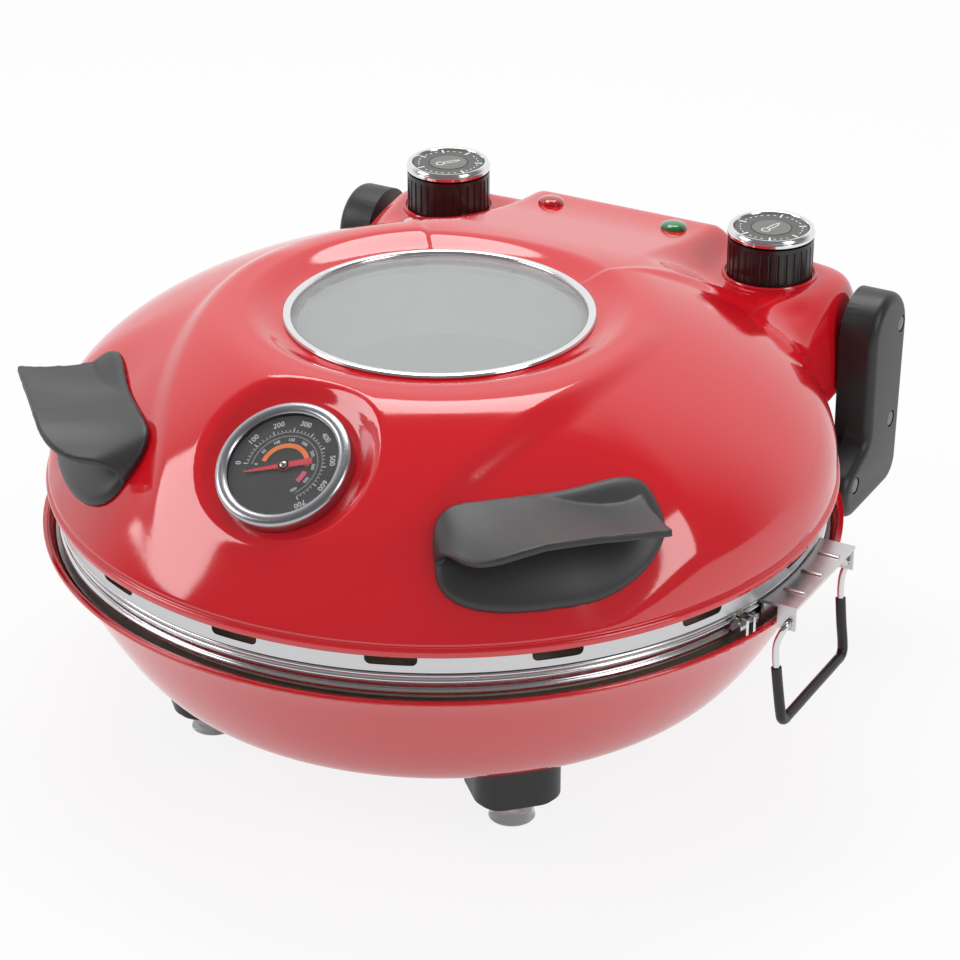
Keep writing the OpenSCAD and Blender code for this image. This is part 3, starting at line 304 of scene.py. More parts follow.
# %% Chrome, stainless and darker steels
chrome = finish("chrome_plating", "#E6E6E8", 0.14, 1.0)
grain(chrome, 4.0, 0.004)
brushed_chrome = finish("satin_chrome", "#B4B4B8", 0.3, 1.0)
grain(brushed_chrome, 0.25, 0.006, rough=(0.2, 0.3))
stainless = finish("brushed_stainless", "#CFCFD1", 0.3, 1.0)
grain(stainless, 0.35, 0.01, stretch=(0.05, 0.05, 1), rough=(0.26, 0.38))
rolled_hoop = finish("rolled_stainless", "#DDDDDF", 0.16, 1.0)
grain(rolled_hoop, 0.4, 0.006, stretch=(0.06, 0.06, 1), rough=(0.12, 0.22))
bright_wire = finish("bright_drawn_wire", "#DADADC", 0.16, 1.0)
grain(bright_wire, 0.6, 0.006)
plain_steel = finish("galvanised_sheet", "#A9A9AB", 0.38, 1.0)
grain(plain_steel, 0.8, 0.01, mottle=("#9D9DA0", "#B5B5B8", 14.0))
heater_steel = finish("heat_darkened_tube", "#3A3634", 0.45, 1.0)
grain(heater_steel, 1.0, 0.02, mottle=("#2E2A28", "#4A4440", 9.0))

# %% [markdown]
# ### Stone, ceramic, glass, rubber and print
# The stone is fired cordierite, a porous pale clay. The window is toughened glass with a pale grey veil on
# it, which is painted sheen standing in for the glass's reflection of the white room. The cups are clear
# PVC. The thermometer's card is matt black with printed scales.

# %% The other finishes
stone = finish("fired_cordierite", "#D8CBB2", 0.85, IOR=1.5)
grain(stone, 0.9, 0.08, mottle=("#CFC0A4", "#E2D7C1", 6.0))
ceramic = finish("white_steatite", "#E4E0D6", 0.5, IOR=1.55)
grain(ceramic, 0.5, 0.01)
# The glass is two thirds see-through. Its pale grey veil, a third of its surface, is painted sheen that
# stands in for its reflection of the white room.
glass_with_painted_sheen = finish("toughened_glass_painted_sheen", "#E2E6E6", 0.03, IOR=1.52, Alpha=0.33)
gauge_pane = finish("gauge_glass", "#FFFFFF", 0.0, IOR=1.45, Transmission_Weight=1.0)
seal_rubber = finish("grey_silicone", "#9A9A98", 0.6, IOR=1.41)
clear_rubber = finish("clear_pvc", "#E6ECEE", 0.12, IOR=1.53, Transmission_Weight=0.75)
sleeve_rubber = finish("black_pvc_sleeve", "#1B1B1C", 0.34, IOR=1.5)
grain(sleeve_rubber, 0.8, 0.01, rough=(0.3, 0.4))
card_black = finish("matt_black_card", "#1D1D20", 0.55, IOR=1.5)
grain(card_black, 0.4, 0.005)
print_white = finish("white_print", "#E9E9E9", 0.5, IOR=1.5)
print_grey = finish("grey_print", "#8E8E90", 0.5, IOR=1.5)
print_orange = finish("orange_print", "#F07A1E", 0.5, IOR=1.5)
print_pink = finish("pink_print", "#E2506E", 0.5, IOR=1.5)
needle_paint = finish("red_needle_paint", "#D21C33", 0.35, IOR=1.5)
brass = finish("turned_hub", "#A8A294", 0.25, 1.0)
face_dark = finish("dark_knob_face", "#4A4A46", 0.35, IOR=1.5)
face_light = finish("grey_knob_centre", "#6A6A66", 0.35, IOR=1.5)
red_lamp = finish("red_lamp_lens", "#C4101C", 0.08, IOR=1.49, Transmission_Weight=0.35, Coat_Weight=1.0)
green_lamp = finish("green_lamp_lens", "#0E8A4A", 0.08, IOR=1.49, Transmission_Weight=0.35, Coat_Weight=1.0)

# %% [markdown]
# ## The CAD pieces that stay
# Pieces whose CAD shape is right only need their finish. The table says which finish each gets.

# %% Dress the CAD nodes
dressing = {
    red_enamel: "lower_bowl lid_cover",
    foot_plastic: "feet inlet_gland rear_underside",
    arm_plastic: "arm_mount_right arm_mount_left arm_inner_right arm_inner_left "
                 "arm_outer_right arm_outer_left",
    grip_plastic: "handle_right handle_left",
    knob_plastic: "timer_knob thermostat_knob",
    plug_plastic: "arm_screws",
    sleeve_rubber: "loop_sleeve_right loop_sleeve_left",
    clear_rubber: "suction_cups",
    stone: "pizza_stone",
    plain_steel: "heat_shield lower_element_clips foot_screws hinge_plate_right hinge_plate_left "
                 "upper_reflector upper_element_clips hinge_lugs gauge_case gauge_nut",
    stainless: "lid_liner loop_bracket_right loop_bracket_left",
    rolled_hoop: "stone_hoop",
    bright_wire: "hoop_bolt hoop_nut carry_loop_right carry_loop_left hinge_pins gauge_probe",
    chrome: "window_ring timer_knob_ring thermostat_knob_ring",
    brushed_chrome: "gauge_bezel",
    heater_steel: "lower_element upper_element",
    ceramic: "terminal_block lamp_holders timer_unit thermostat_unit",
    glass_with_painted_sheen: "window_glass",
    gauge_pane: "gauge_glass",
    seal_rubber: "window_seal",
    card_black: "gauge_dial",
    face_dark: "timer_knob_face thermostat_knob_face",
    needle_paint: "gauge_needle",
    red_lamp: "red_lens",
    green_lamp: "green_lens",
}
for material, names in dressing.items():
    for name in names.split():
        painted(nodes[name], material)
undressed = set(nodes) - set(" ".join(dressing.values()).split())
print("nodes without a finish:", sorted(undressed))

# %% [markdown]
# ## The lid
# The lid is one deep pressing: a dome that a flat roof and a hump run back from, with a dish
# for the window, a seat for the thermometer and two seats for the knobs. The CAD describes it
# by a height over each point, so the same formula is used here on a much finer net. The
# profile along the front differs from the one at the sides, and soft minimum and maximum
# functions give the creases the radius that a press leaves.


# %% Functions for a pressed surface
def ramp(a, b, x):
    t = np.clip((x - a) / (b - a), 0, 1)
    return t * t * (3 - 2 * t)


def mix(a, b, t):
    return a + (b - a) * t


def soft_min(a, b, k):
    h = np.maximum(k - np.abs(a - b), 0) / k
    return np.minimum(a, b) - h * h * k / 4


def soft_max(a, b, k):
    return -soft_min(-a, -b, k)


LID_R, LID_Z, SHEET = 176.0, RIM_Z + LID_RISE, 2.0
TOP_Z, WALL_Z = LID_Z + 78.5, LID_Z + 6
REAR_W, REAR_Y = 126.0, 192.0
HUMP_W, HUMP_RISE, HUMP_Z = 52.0, 7.0, TOP_Z - 21
HOOD_W, HOOD_RISE = 97.0, 3.5
WINDOW_R, WINDOW_Y, DISH = 66.4, -2.6, 5.5
KNOB_X, KNOB_Y, KNOB_R = 86.6, 158.5, 20.2
KNOB_SEAT, KNOB_TOP = TOP_Z - 28.3, TOP_Z - 4.5
GAUGE_Y, GAUGE_Z, GAUGE_TILT = -133.5, TOP_Z - 20.8, 34.4
BEZEL_R, GAUGE_SINK = 29.6, 7.3
BOX_POWER, JOIN_POWER = 20, 30
TOP_ROUND, CREASE_ROUND = 3, 9
tilt = math.radians(GAUGE_TILT)
gauge_seat = (GAUGE_Y + GAUGE_SINK * math.sin(tilt), GAUGE_Z - GAUGE_SINK * math.cos(tilt))


def boxed(phi, inset=0.0):
    """Radius of the rear housing's squarish outline in direction phi (degrees)."""
    c = np.abs(np.cos(np.radians(phi))) / (REAR_W - inset)
    s = np.sin(np.radians(phi)) / (REAR_Y - inset)
    return (c ** BOX_POWER + np.maximum(s, 0) ** BOX_POWER) ** (-1 / BOX_POWER)


def outline(phi, inset=0.0):
    """Radius of the lid's edge: the dome's circle and the rear housing's outline together."""
    radius = LID_R - inset
    grown = radius * (1 + (boxed(phi, inset) / radius) ** JOIN_POWER) ** (1 / JOIN_POWER)
    return np.where(np.sin(np.radians(phi)) <= 0, radius, grown)


def dome(s, phi):
    """Height of the dome at share s of its radius: full at the front, slimmer at the sides."""
    front = WALL_Z + (TOP_Z - WALL_Z + 10.5) * np.maximum(1 - s ** 3.2, 0) ** 0.97
    side = WALL_Z + (TOP_Z - WALL_Z + 26) * np.maximum(1 - s, 0) ** 0.42
    return mix(front, side, ramp(-0.66, -0.36, np.sin(np.radians(phi))))


def roof(x, y):
    """Height of the rear housing's top: a slope down from the dome, and a hump in its middle."""
    beside = ramp(HUMP_W - 6, HUMP_W + 28, np.abs(x))
    slope = soft_min(TOP_Z, TOP_Z - mix(0.215, 0.4, beside) * (y - REAR_Y + 120), 6)
    sunk = HUMP_RISE * ramp(HUMP_W - 6, HUMP_W + 8, np.abs(x)) * ramp(REAR_Y - 100, REAR_Y - 55, y)
    deck = HUMP_Z - sunk
    return soft_max(slope - (HUMP_Z - deck), deck, 6)


def lid_height(x, y):
    """Height of the lid over a point: dome, housing, window dish, knob seats, gauge seat."""
    phi = np.degrees(np.arctan2(y, x))
    back = np.degrees(np.arctan2(y, np.abs(x)))
    r = np.hypot(x, y)
    hood = HOOD_RISE * (1 - ramp(-5, 7, np.abs(x) - HOOD_W + 0.0019 * y * y)) * ramp(-168, -130, y)
    domed = dome(np.minimum(1, r / LID_R), phi) + hood * (1 - ramp(-10, 30, y))
    domed = mix(domed, WALL_Z, ramp(52, 70, back))
    edge = 1 - np.minimum(1, r / boxed(phi)) ** mix(36, 80, ramp(50, 75, back))
    housed = WALL_Z + (roof(x, y) - WALL_Z) * np.sqrt(np.maximum(edge, 0)) * ramp(28, 56, back)
    high = np.maximum(domed, housed)
    radius = 0.001 + CREASE_ROUND * ramp(WALL_Z, WALL_Z + 20, high)
    z = soft_min(soft_max(domed, housed, radius), TOP_Z, TOP_ROUND)
    z = z - DISH * (1 - ramp(WINDOW_R + 3, WINDOW_R + 20, np.hypot(x, y - WINDOW_Y)))
    dx, dy = np.abs(x) - KNOB_X, y - KNOB_Y
    d = np.hypot(dx, dy)
    reach = mix(KNOB_R + 8, KNOB_R + 22, ramp(0.1, 1, -dy / np.maximum(d, 1)))
    z = mix(z, KNOB_SEAT, 1 - ramp(KNOB_R + 2.2, reach, d))
    near = 1 - ramp(BEZEL_R + 2.5, BEZEL_R + 12, np.hypot(x, (y - gauge_seat[0]) / math.cos(tilt)))
    return mix(z, gauge_seat[1] + (y - gauge_seat[0]) * math.tan(tilt), near)


print("lid height at the front light:", round(float(lid_height(33.1, 165.2)), 2))

# %% [markdown]
# The net starts as a plain grid, one column for each direction and one row for each ring from
# the window out to the edge. The rows go on round the stepped rim and back up inside. Its
# points are then moved into place, and the seam where the grid's two ends meet is welded.
# The columns crowd together at the corners of the rear housing, where the edge turns fastest.

# %% Press the lid
SECTORS, ROWS, LINING_ROWS, EDGE_ROWS = 384, 120, 24, 22
RIM_STEPS = [(0.3, 5.1), (-0.2, 3.8), (1.1, 3.06), (1.4, 1.8), (1.0, 0.0)]


def crowded_directions(count, corner=33.0):
    a = np.arange(-180, 180.5, 0.5)
    warped = a + 0.17 * (np.degrees(np.arctan((a - corner) / 7)) + np.degrees(np.arctan((a + corner) / 7)))
    return 90 + np.interp(np.linspace(warped[0], warped[-1], count + 1), warped, a)


def lid_row(t, phi, inset=0.0):
    r = mix(WINDOW_R, outline(phi, inset), t)
    x, y = r * np.cos(np.radians(phi)), r * np.sin(np.radians(phi)) + WINDOW_Y * (1 - t)
    full = mix(1, outline(phi) / outline(phi, inset), t)
    return np.stack([x, y, lid_height(x * full, y * full) - inset], 1)


def rim_row(out, z, phi):
    r, a = outline(phi) + out, np.radians(phi)
    return np.stack([r * np.cos(a), r * np.sin(a), np.full_like(phi, LID_Z + z)], 1)


def spread(t):
    return t - 0.09 * math.sin(2 * math.pi * t)


phi = crowded_directions(SECTORS)
rim_outs, rim_heights = zip(*RIM_STEPS)
rim_z = np.linspace(rim_heights[0], 0, EDGE_ROWS)
rim_out = np.interp(-rim_z, [-h for h in rim_heights], rim_outs)
rim_out = np.convolve(np.pad(rim_out, 1, "edge"), [0.25, 0.5, 0.25], "valid")
lid_rows = [lid_row(spread(i / ROWS) * 0.9995, phi) for i in range(ROWS + 1)]
lid_rows += [rim_row(out, z, phi) for out, z in zip(rim_out, rim_z)]
lid_rows += [rim_row(-SHEET, 0, phi)]
lid_rows += [lid_row(spread(i / LINING_ROWS) * 0.999, phi, SHEET) for i in range(LINING_ROWS, -1, -1)]
lid_rows += [lid_rows[0]]
clear()
bpy.ops.mesh.primitive_grid_add(x_subdivisions=SECTORS, y_subdivisions=len(lid_rows) - 1, size=1)
lid = active()
place = points(lid)
column = np.rint((place[:, 0] + 0.5) * SECTORS).astype(int)
row = np.rint((place[:, 1] + 0.5) * (len(lid_rows) - 1)).astype(int)
put_points(lid, np.array(lid_rows)[row, column])
edit(lid, weld, outward)
hand_over(lid, "lid_shell", "lid", red_enamel, ["lid_cover"], angle=60)

# %% [markdown]
# ## The grips
# Each grip is a moulded pad on the lid's shoulder with a lip that sweeps out of it to lift the
# lid by. A pad is made from a sphere whose points are moved onto the lid, and the lip from a
# grid with a wall. A voxel remesh then makes one skin of the two, and smoothing it leaves the
# soft fillet that a moulding has where the lip leaves the pad.

# %% Shape one grip
TURN = 270 + 46
PLATE_R, PLATE_HALF_W, PLATE_HALF_R, PLATE_T = 154.6, 48.5, 15.9, 4.4
WING_R, WING_Z, WING_T, WING_DROOP = 183.0, TOP_Z - 26.2, 3.4, 14.0
WING_ENDS, BEND_U = (-47.0, 41.0), -11
ROOT_R, END_W = 141.5, 151.5
PAD_POWER = 3.4


def on_grip(u, w):
    """u millimetres back along the grip and w out from the middle of the lid."""
    a = math.radians(TURN)
    return w * math.cos(a) - u * math.sin(a), w * math.sin(a) + u * math.cos(a)


def lid_facing(x, y, d=0.5):
    """The direction that the lid's surface faces over each point."""
    v = np.stack([lid_height(x - d, y) - lid_height(x + d, y),
                  lid_height(x, y - d) - lid_height(x, y + d), np.full_like(x, 2 * d)], -1)
    return v / np.linalg.norm(v, axis=-1, keepdims=True)


clear()
bpy.ops.mesh.primitive_uv_sphere_add(segments=96, ring_count=40, radius=1)
pad = active()
ball = points(pad)
share = np.clip(np.hypot(ball[:, 0], ball[:, 1]), 0, 1)
around = np.arctan2(ball[:, 1], ball[:, 0])
corner = (np.abs(np.cos(around)) ** PAD_POWER + np.abs(np.sin(around)) ** PAD_POWER) ** (-1 / PAD_POWER)
q = 2 / np.pi * np.arcsin(share)
r = PLATE_R + q * corner * PLATE_HALF_R * np.sin(around)
a = np.radians(TURN) + q * corner * PLATE_HALF_W * np.cos(around) / PLATE_R
x, y = r * np.cos(a), r * np.sin(a)
lift = np.where(ball[:, 2] > 0, 0.3 + PLATE_T * np.maximum(1 - q ** 7, 0) ** 0.45, 0.3)
put_points(pad, np.stack([x, y, lid_height(x, y)], 1) + lid_facing(x, y) * lift[:, None])

clear()
bpy.ops.mesh.primitive_grid_add(x_subdivisions=90, y_subdivisions=36, size=1)
lip = active()
grid = points(lip) + [0.5, 0.5, 0]
# the left third of the columns closes in a round end; the rest runs straight on to the tip
third = np.clip(grid[:, 0] * 3, 0, 1)
u = np.where(grid[:, 0] < 1 / 3, mix(WING_ENDS[0], BEND_U, 1 - np.sqrt(1 - third ** 2)),
             mix(BEND_U, WING_ENDS[1], (grid[:, 0] - 1 / 3) * 1.5))
v = grid[:, 1]
# f runs from 0 at the bend to 1 at the round end's tip
f = np.clip((BEND_U - u) / (BEND_U - WING_ENDS[0]), 0, 1)
edge_w = END_W + (WING_R - END_W) * (1 - f ** 3) ** 0.6
root_w = np.sqrt(ROOT_R ** 2 - u ** 2) + 11 * ramp(-8, 44, u)
root_w = END_W - (END_W - root_w) * (1 - f ** 5) ** 0.5
rx, ry = on_grip(u, root_w)
root_z = lid_height(rx, ry) + 2.6
edge_z = WING_Z - WING_T / 2 - WING_DROOP * f ** 1.6 - np.maximum(0, u - 11) * 0.05
edge_z = mix(edge_z, root_z, f ** 9)
mid_w = mix(root_w, edge_w, 0.42)
mid_z = mix(root_z, edge_z, 0.55) - 3.2 * (1 - f)
w = (1 - v) ** 2 * root_w + 2 * v * (1 - v) * mid_w + v ** 2 * edge_w
z = (1 - v) ** 2 * root_z + 2 * v * (1 - v) * mid_z + v ** 2 * edge_z
x, y = on_grip(u, w)
put_points(lip, np.stack([x, y, z], 1))
edit(lip, weld)
modify(lip, "SOLIDIFY", thickness=WING_T, offset=0)
grip = join(pad, lip)
edit(grip, outward)
modify(grip, "REMESH", mode="VOXEL", voxel_size=0.6)
modify(grip, "SMOOTH", factor=0.5, iterations=16)
left_grip = copy_of(grip, Matrix.Scale(-1, 4, (1, 0, 0)))
hand_over(grip, "grip_right", "lid", grip_plastic, ["handle_right"], angle=60)
hand_over(left_grip, "grip_left", "lid", grip_plastic, ["handle_left"], angle=60)

# %% [markdown]
# ## The slotted liner
# Under the lid's edge runs a band of stainless sheet that is turned in at its top. Sixteen
# slots with round corners let steam out of it. The band is turned like the other rings, and
# one beveled block, copied round, cuts the slots.

# %% Turn and cut the liner
LINER_OUT, LINER_T, LINER_TURN = LID_R - SHEET - 0.6, 1.0, 2.3
LINER_IN, LINER_TOP = 158.0, WALL_Z - 0.2
LINER_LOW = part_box("lid_liner")[0][2] / MM
SLOT_W, SLOT_H, SLOT_RISE, SLOTS = 21.6, 7.4, 3.2, 16
inner = LINER_OUT - LINER_T
liner = lathe([(inner, LINER_LOW), (LINER_OUT, LINER_LOW), (LINER_OUT, LINER_TOP - LINER_TURN),
               (LINER_OUT - LINER_TURN, LINER_TOP), (LINER_IN, LINER_TOP),
               (LINER_IN, LINER_TOP - LINER_T), (inner - LINER_TURN / 2, LINER_TOP - LINER_T),
               (inner, LINER_TOP - LINER_TURN - LINER_T / 2)], 256)
cutters = []
for k in range(SLOTS):
    clear()
    bpy.ops.mesh.primitive_cube_add(size=1, location=(0, 0, 0), scale=(8, SLOT_W, SLOT_H))
    bpy.ops.object.transform_apply(location=True, rotation=True, scale=True)
    cutter = modify(active(), "BEVEL", width=2.4, segments=4)
    cutter.data.transform(Matrix.Translation((LINER_OUT, 0, LINER_LOW + SLOT_RISE + SLOT_H / 2)))
    cutter.data.transform(Matrix.Rotation(math.radians(-90 + 360 * k / SLOTS), 4, "Z"))
    cutters.append(cutter)
cutter = join(*cutters)
modify(liner, "BOOLEAN", object=cutter, operation="DIFFERENCE", solver="EXACT")
bpy.data.objects.remove(cutter)
hand_over(liner, "slotted_liner", "lid", stainless, ["lid_liner"], angle=30)

# %% [markdown]
# ## The hinge arms
# An arm's outer cover is a flat moulding with a rounded front edge and three sunk screw holes
# with plugs. Its outline is a circle primitive whose points are moved onto the drawn outline,
# then filled, extruded, bevelled along the outer edge and drilled with Boolean modifiers.


# %% The arm's outline
def side_dir(p, pr, q, qr):
    """Direction in which the straight side from circle p to circle q faces, in degrees."""
    return math.degrees(math.atan2(q[1] - p[1], q[0] - p[0]) - math.acos((pr - qr) / math.dist(p, q)))


def arc(p, r, a, b):
    steps = math.ceil((b - a) / 5)
    turns = [math.radians(mix(a, b, i / steps)) for i in range(steps + 1)]
    return [(p[0] + r * math.cos(t), p[1] + r * math.sin(t)) for t in turns]


def fillet(p, before, after, radius):
    """Rounds an inner corner p between the points before and after it."""
    a, b = (Vector(before) - Vector(p)).normalized(), (Vector(after) - Vector(p)).normalized()
    half = a.angle(b) / 2
    reach = radius / math.tan(half)
    start, end = Vector(p) + a * reach, Vector(p) + b * reach
    return [tuple(start * (1 - t) ** 2 + Vector(p) * 2 * t * (1 - t) + end * t * t)
            for t in (0, .2, .4, .6, .8, 1)]


ARM_X, ARM_W, ARM_INNER = 127.5, 18.2, 5.0
HINGE = (168.5, RIM_Z + 46)
HEEL, KNEE, NOSE = (173.0, RIM_Z - 21.5), (161.5, RIM_Z - 11), (135.0, RIM_Z - 22)
TOP_R, LOW_R, CROOK_R = 20.0, 12.5, 10
back = side_dir(HEEL, LOW_R, HINGE, TOP_R)
front = side_dir(HINGE, TOP_R, KNEE, LOW_R) + 360
shelf = side_dir(KNEE, LOW_R, NOSE, LOW_R) + 360
under = side_dir(NOSE, LOW_R, HEEL, LOW_R) + 360


def meet(a, d, b, e):
    """Where two lines cross, each given by the way it faces and its distance from the origin."""
    a, b = math.radians(a), math.radians(b)
    k = math.sin(b - a)
    return (d * math.sin(b) - e * math.sin(a)) / k, (e * math.cos(a) - d * math.cos(b)) / k


def reach(p, r, a):
    return p[0] * math.cos(math.radians(a)) + p[1] * math.sin(math.radians(a)) + r


crook = meet(front, reach(HINGE, TOP_R, front), shelf, reach(NOSE, LOW_R, shelf))
top_arc, nose_arc = arc(HINGE, TOP_R, back, front), arc(NOSE, LOW_R, shelf, under)
arm_outline = top_arc + fillet(crook, top_arc[-1], nose_arc[0], CROOK_R) + nose_arc
arm_outline += arc(HEEL, LOW_R, under, back + 360)
print("arm outline points:", len(arm_outline))

# %% Extrude, bevel and drill the arm cover
SCREWS = [(180.5, RIM_Z + 47), (174.3, RIM_Z), (134.1, RIM_Z - 18)]
HOLE_R, EDGE_ROUND = 4.1, 4.4
clear()
bpy.ops.mesh.primitive_circle_add(vertices=len(arm_outline), radius=1, fill_type="NGON")
arm = active()
x_low, x_high = ARM_X + ARM_INNER, ARM_X + ARM_W
put_points(arm, [(x_low, y, z) for y, z in arm_outline])
edit(arm, outward, lambda: bpy.ops.mesh.extrude_region_move(
    TRANSFORM_OT_translate={"value": (x_high - x_low, 0, 0)}))
edit(arm, outward)
weight = arm.data.attributes.new("bevel_weight_edge", "FLOAT", "EDGE")
for line in arm.data.edges:
    ends = [arm.data.vertices[i].co.x for i in line.vertices]
    weight.data[line.index].value = 1.0 if min(ends) > x_high - 0.1 else 0.0
modify(arm, "BEVEL", limit_method="WEIGHT", width=EDGE_ROUND, segments=6)
for y, z in SCREWS:
    clear()
    bpy.ops.mesh.primitive_cylinder_add(vertices=48, radius=HOLE_R, depth=4,
                                        location=(x_high + 0.8, y, z), rotation=(0, math.pi / 2, 0))
    drill = active()
    bpy.ops.object.transform_apply(location=True, rotation=True, scale=True)
    modify(arm, "BOOLEAN", object=drill, operation="DIFFERENCE", solver="EXACT")
    bpy.data.objects.remove(drill)
left_arm = copy_of(arm, Matrix.Scale(-1, 4, (1, 0, 0)))
hand_over(arm, "arm_cover_right", "base", arm_plastic, ["arm_outer_right"], angle=40)
hand_over(left_arm, "arm_cover_left", "base", arm_plastic, ["arm_outer_left"], angle=40)

# %% [markdown]
# The screws sit deep in the cover, and a grey plug closes each hole. A plug is a short turned
# disc with a rounded edge, made once and copied to the six holes.

# %% Plugs
plugs = []
for side in (1, -1):
    for y, z in SCREWS:
        plug = lathe([(0.2, 0.9), (2.8, 0.9), (3.4, 0.75), (3.75, 0.3), (3.75, -0.6), (0.2, -0.6)], 40)
        plug.data.transform(Matrix.Rotation(side * math.pi / 2, 4, "Y"))
        plug.data.transform(Matrix.Translation((side * (x_high - 1.1), y, z)))
        plugs.append(plug)
hand_over(join(*plugs), "arm_plugs", "base", plug_plastic, ["arm_screws"])

# %% [markdown]
# ## The carrying loops
# Each loop is a bent wire in a black sleeve that hangs from the two ears of a steel bracket.
# The wire leaves its ear, bows in towards the bowl, and runs down to a square corner. It is
# drawn as a Bezier curve with a round bevel and then turned into a mesh.


# %% Bend the wire and its sleeve
def wire(route, radius, steps=10):
    """A round bar along a list of points."""
    clear()
    bpy.ops.curve.primitive_bezier_curve_add()
    bar = active()
    line = bar.data.splines[0]
    line.bezier_points.add(len(route) - 2)
    for spot, place in zip(line.bezier_points, route):
        spot.co = place
        spot.handle_left_type = spot.handle_right_type = "AUTO"
    bar.data.dimensions = "3D"
    bar.data.resolution_u = steps
    bar.data.bevel_depth = radius
    bar.data.bevel_resolution = 5
    bar.data.use_fill_caps = True
    focus(bar)
    bpy.ops.object.convert(target="MESH")
    return edit(active(), weld, outward)


EAR_Z, LOOP_DROP = RIM_Z + 1.5, 48.3
WIRE_R, SLEEVE_R = 1.5, 2.3


def mirrored(line):
    return [(x, -y, z) for x, y, z in line]


half = [(184.0, 28.2, 0), (184.0, 32.2, -0.1), (183.6, 34.6, -1.3), (182.2, 35.6, -4.7),
        (180.6, 35.4, -9.5), (180.2, 34.8, -15.5), (180.6, 34.4, -21.5)]
low = [(181.9, 33.9, -33.5), (183.2, 33.5, -43.5), (183.5, 32.9, -46.3), (183.7, 30.6, -48.1),
       (183.7, 26.0, -LOOP_DROP)]
half, low = ([(x, y, EAR_Z + z) for x, y, z in line] for line in (half, low))
bottom = (183.7, 0, EAR_Z - LOOP_DROP)
route = half + low + [bottom] + mirrored(low)[::-1] + mirrored(half)[::-1]
sleeve_route = [half[-1]] + low + [bottom] + mirrored(low)[::-1] + [mirrored(half)[-1]]
bail = wire(route, WIRE_R)
sleeve = wire(sleeve_route, SLEEVE_R)
other_bail, other_sleeve = (copy_of(p, Matrix.Scale(-1, 4, (1, 0, 0))) for p in (bail, sleeve))
for piece, name, side, slot, look, stands in (
        (bail, "loop_wire_right", "right", "bright_steel", bright_wire, "carry_loop"),
        (sleeve, "loop_grip_right", "right", "black_plastic", sleeve_rubber, "loop_sleeve"),
        (other_bail, "loop_wire_left", "left", "bright_steel", bright_wire, "carry_loop"),
        (other_sleeve, "loop_grip_left", "left", "black_plastic", sleeve_rubber, "loop_sleeve")):
    hand_over(piece, name, "loop_" + side, look, [stands + "_" + side])

# %% [markdown]
# ## Window and knob rings
# The window sits in a thin plated ring with a rounded top. Each knob has a plated collar with
# a wide band and a rolled lip round its printed face, and stands in a raised bead of the lid.

# %% Turn the rings
window_z = TOP_Z - DISH
TRIM = [(65.0, 0.2), (68.6, 0.2), (68.9, 0.9), (68.5, 1.8), (67.6, 2.2), (66.4, 2.2),
        (65.4, 1.7), (65.0, 1.0)]
ring = lathe([(r, window_z + z) for r, z in TRIM], 192)
ring.data.transform(Matrix.Translation((0, WINDOW_Y, 0)))
hand_over(ring, "window_trim", "lid", chrome, ["window_ring"])
COLLAR = [(17.4, -3.9), (20.2, -3.9), (20.5, -3.6), (20.5, -2.3), (20.2, -1.9), (19.9, -1.7),
          (20.1, -1.3), (19.8, -0.5), (19.2, 0.0), (18.6, 0.0), (17.9, -0.3), (17.4, -1.2)]
BEAD = [(20.7, -0.5), (22.5, -0.5), (22.5, 0.7), (22.1, 1.2), (21.2, 1.2), (20.7, 0.7)]
for side, name in ((1, "timer"), (-1, "thermostat")):
    collar = lathe([(r, KNOB_TOP + z) for r, z in COLLAR], 128)
    collar.data.transform(Matrix.Translation((side * KNOB_X, KNOB_Y, 0)))
    hand_over(collar, name + "_collar", name, chrome, [name + "_knob_ring"])
    bead = lathe([(r, KNOB_SEAT + z) for r, z in BEAD])
    bead.data.transform(Matrix.Translation((side * KNOB_X, KNOB_Y, 0)))
    hand_over(bead, name + "_seat_bead", "lid", red_enamel)

# %% [markdown]
# ## Printed faces
# Print is modelled as thin raised shapes, a tenth of a millimetre high, so that it survives in
# any renderer. A mark is a small flat box between two points, and a band is part of a ring.


# %% Marks and bands
def mark(p, q, width, thick=0.1):
    """A thin bar in the XY plane from p to q."""
    p, q = Vector((*p, 0)), Vector((*q, 0))
    clear()
    bpy.ops.mesh.primitive_cube_add(size=1, location=(p + q) / 2, scale=((q - p).length, width, thick),
                                    rotation=(0, 0, math.atan2(q.y - p.y, q.x - p.x)))
    bpy.ops.object.transform_apply(location=True, rotation=True, scale=True)
    return active()


def band(r, width, start, end, thick=0.1):
    """Part of a flat ring of middle radius r, from start to end in degrees."""
    turns = max(2, int(abs(end - start) / 4))
    clear()
    bpy.ops.mesh.primitive_grid_add(x_subdivisions=turns, y_subdivisions=1, size=1)
    strip = active()
    grid = points(strip)
    a = np.radians(mix(start, end, grid[:, 0] + 0.5))
    radius = r + grid[:, 1] * width
    put_points(strip, np.stack([radius * np.cos(a), radius * np.sin(a), 0 * a], 1))
    return modify(strip, "SOLIDIFY", thickness=thick, offset=0)


def dot(r, thick=0.1, z=0.0):
    clear()
    bpy.ops.mesh.primitive_cylinder_add(vertices=64, radius=r, depth=thick, location=(0, 0, z))
    bpy.ops.object.transform_apply(location=True, rotation=True, scale=True)
    return active()


def ray_at(angle, r):
    return r * math.cos(math.radians(angle)), r * math.sin(math.radians(angle))


# %% [markdown]
# A knob's face is a dark disc with white ticks, a lighter middle and a pointer drawn as an
# outline: a ring at its tail and two lines that run to its tip.

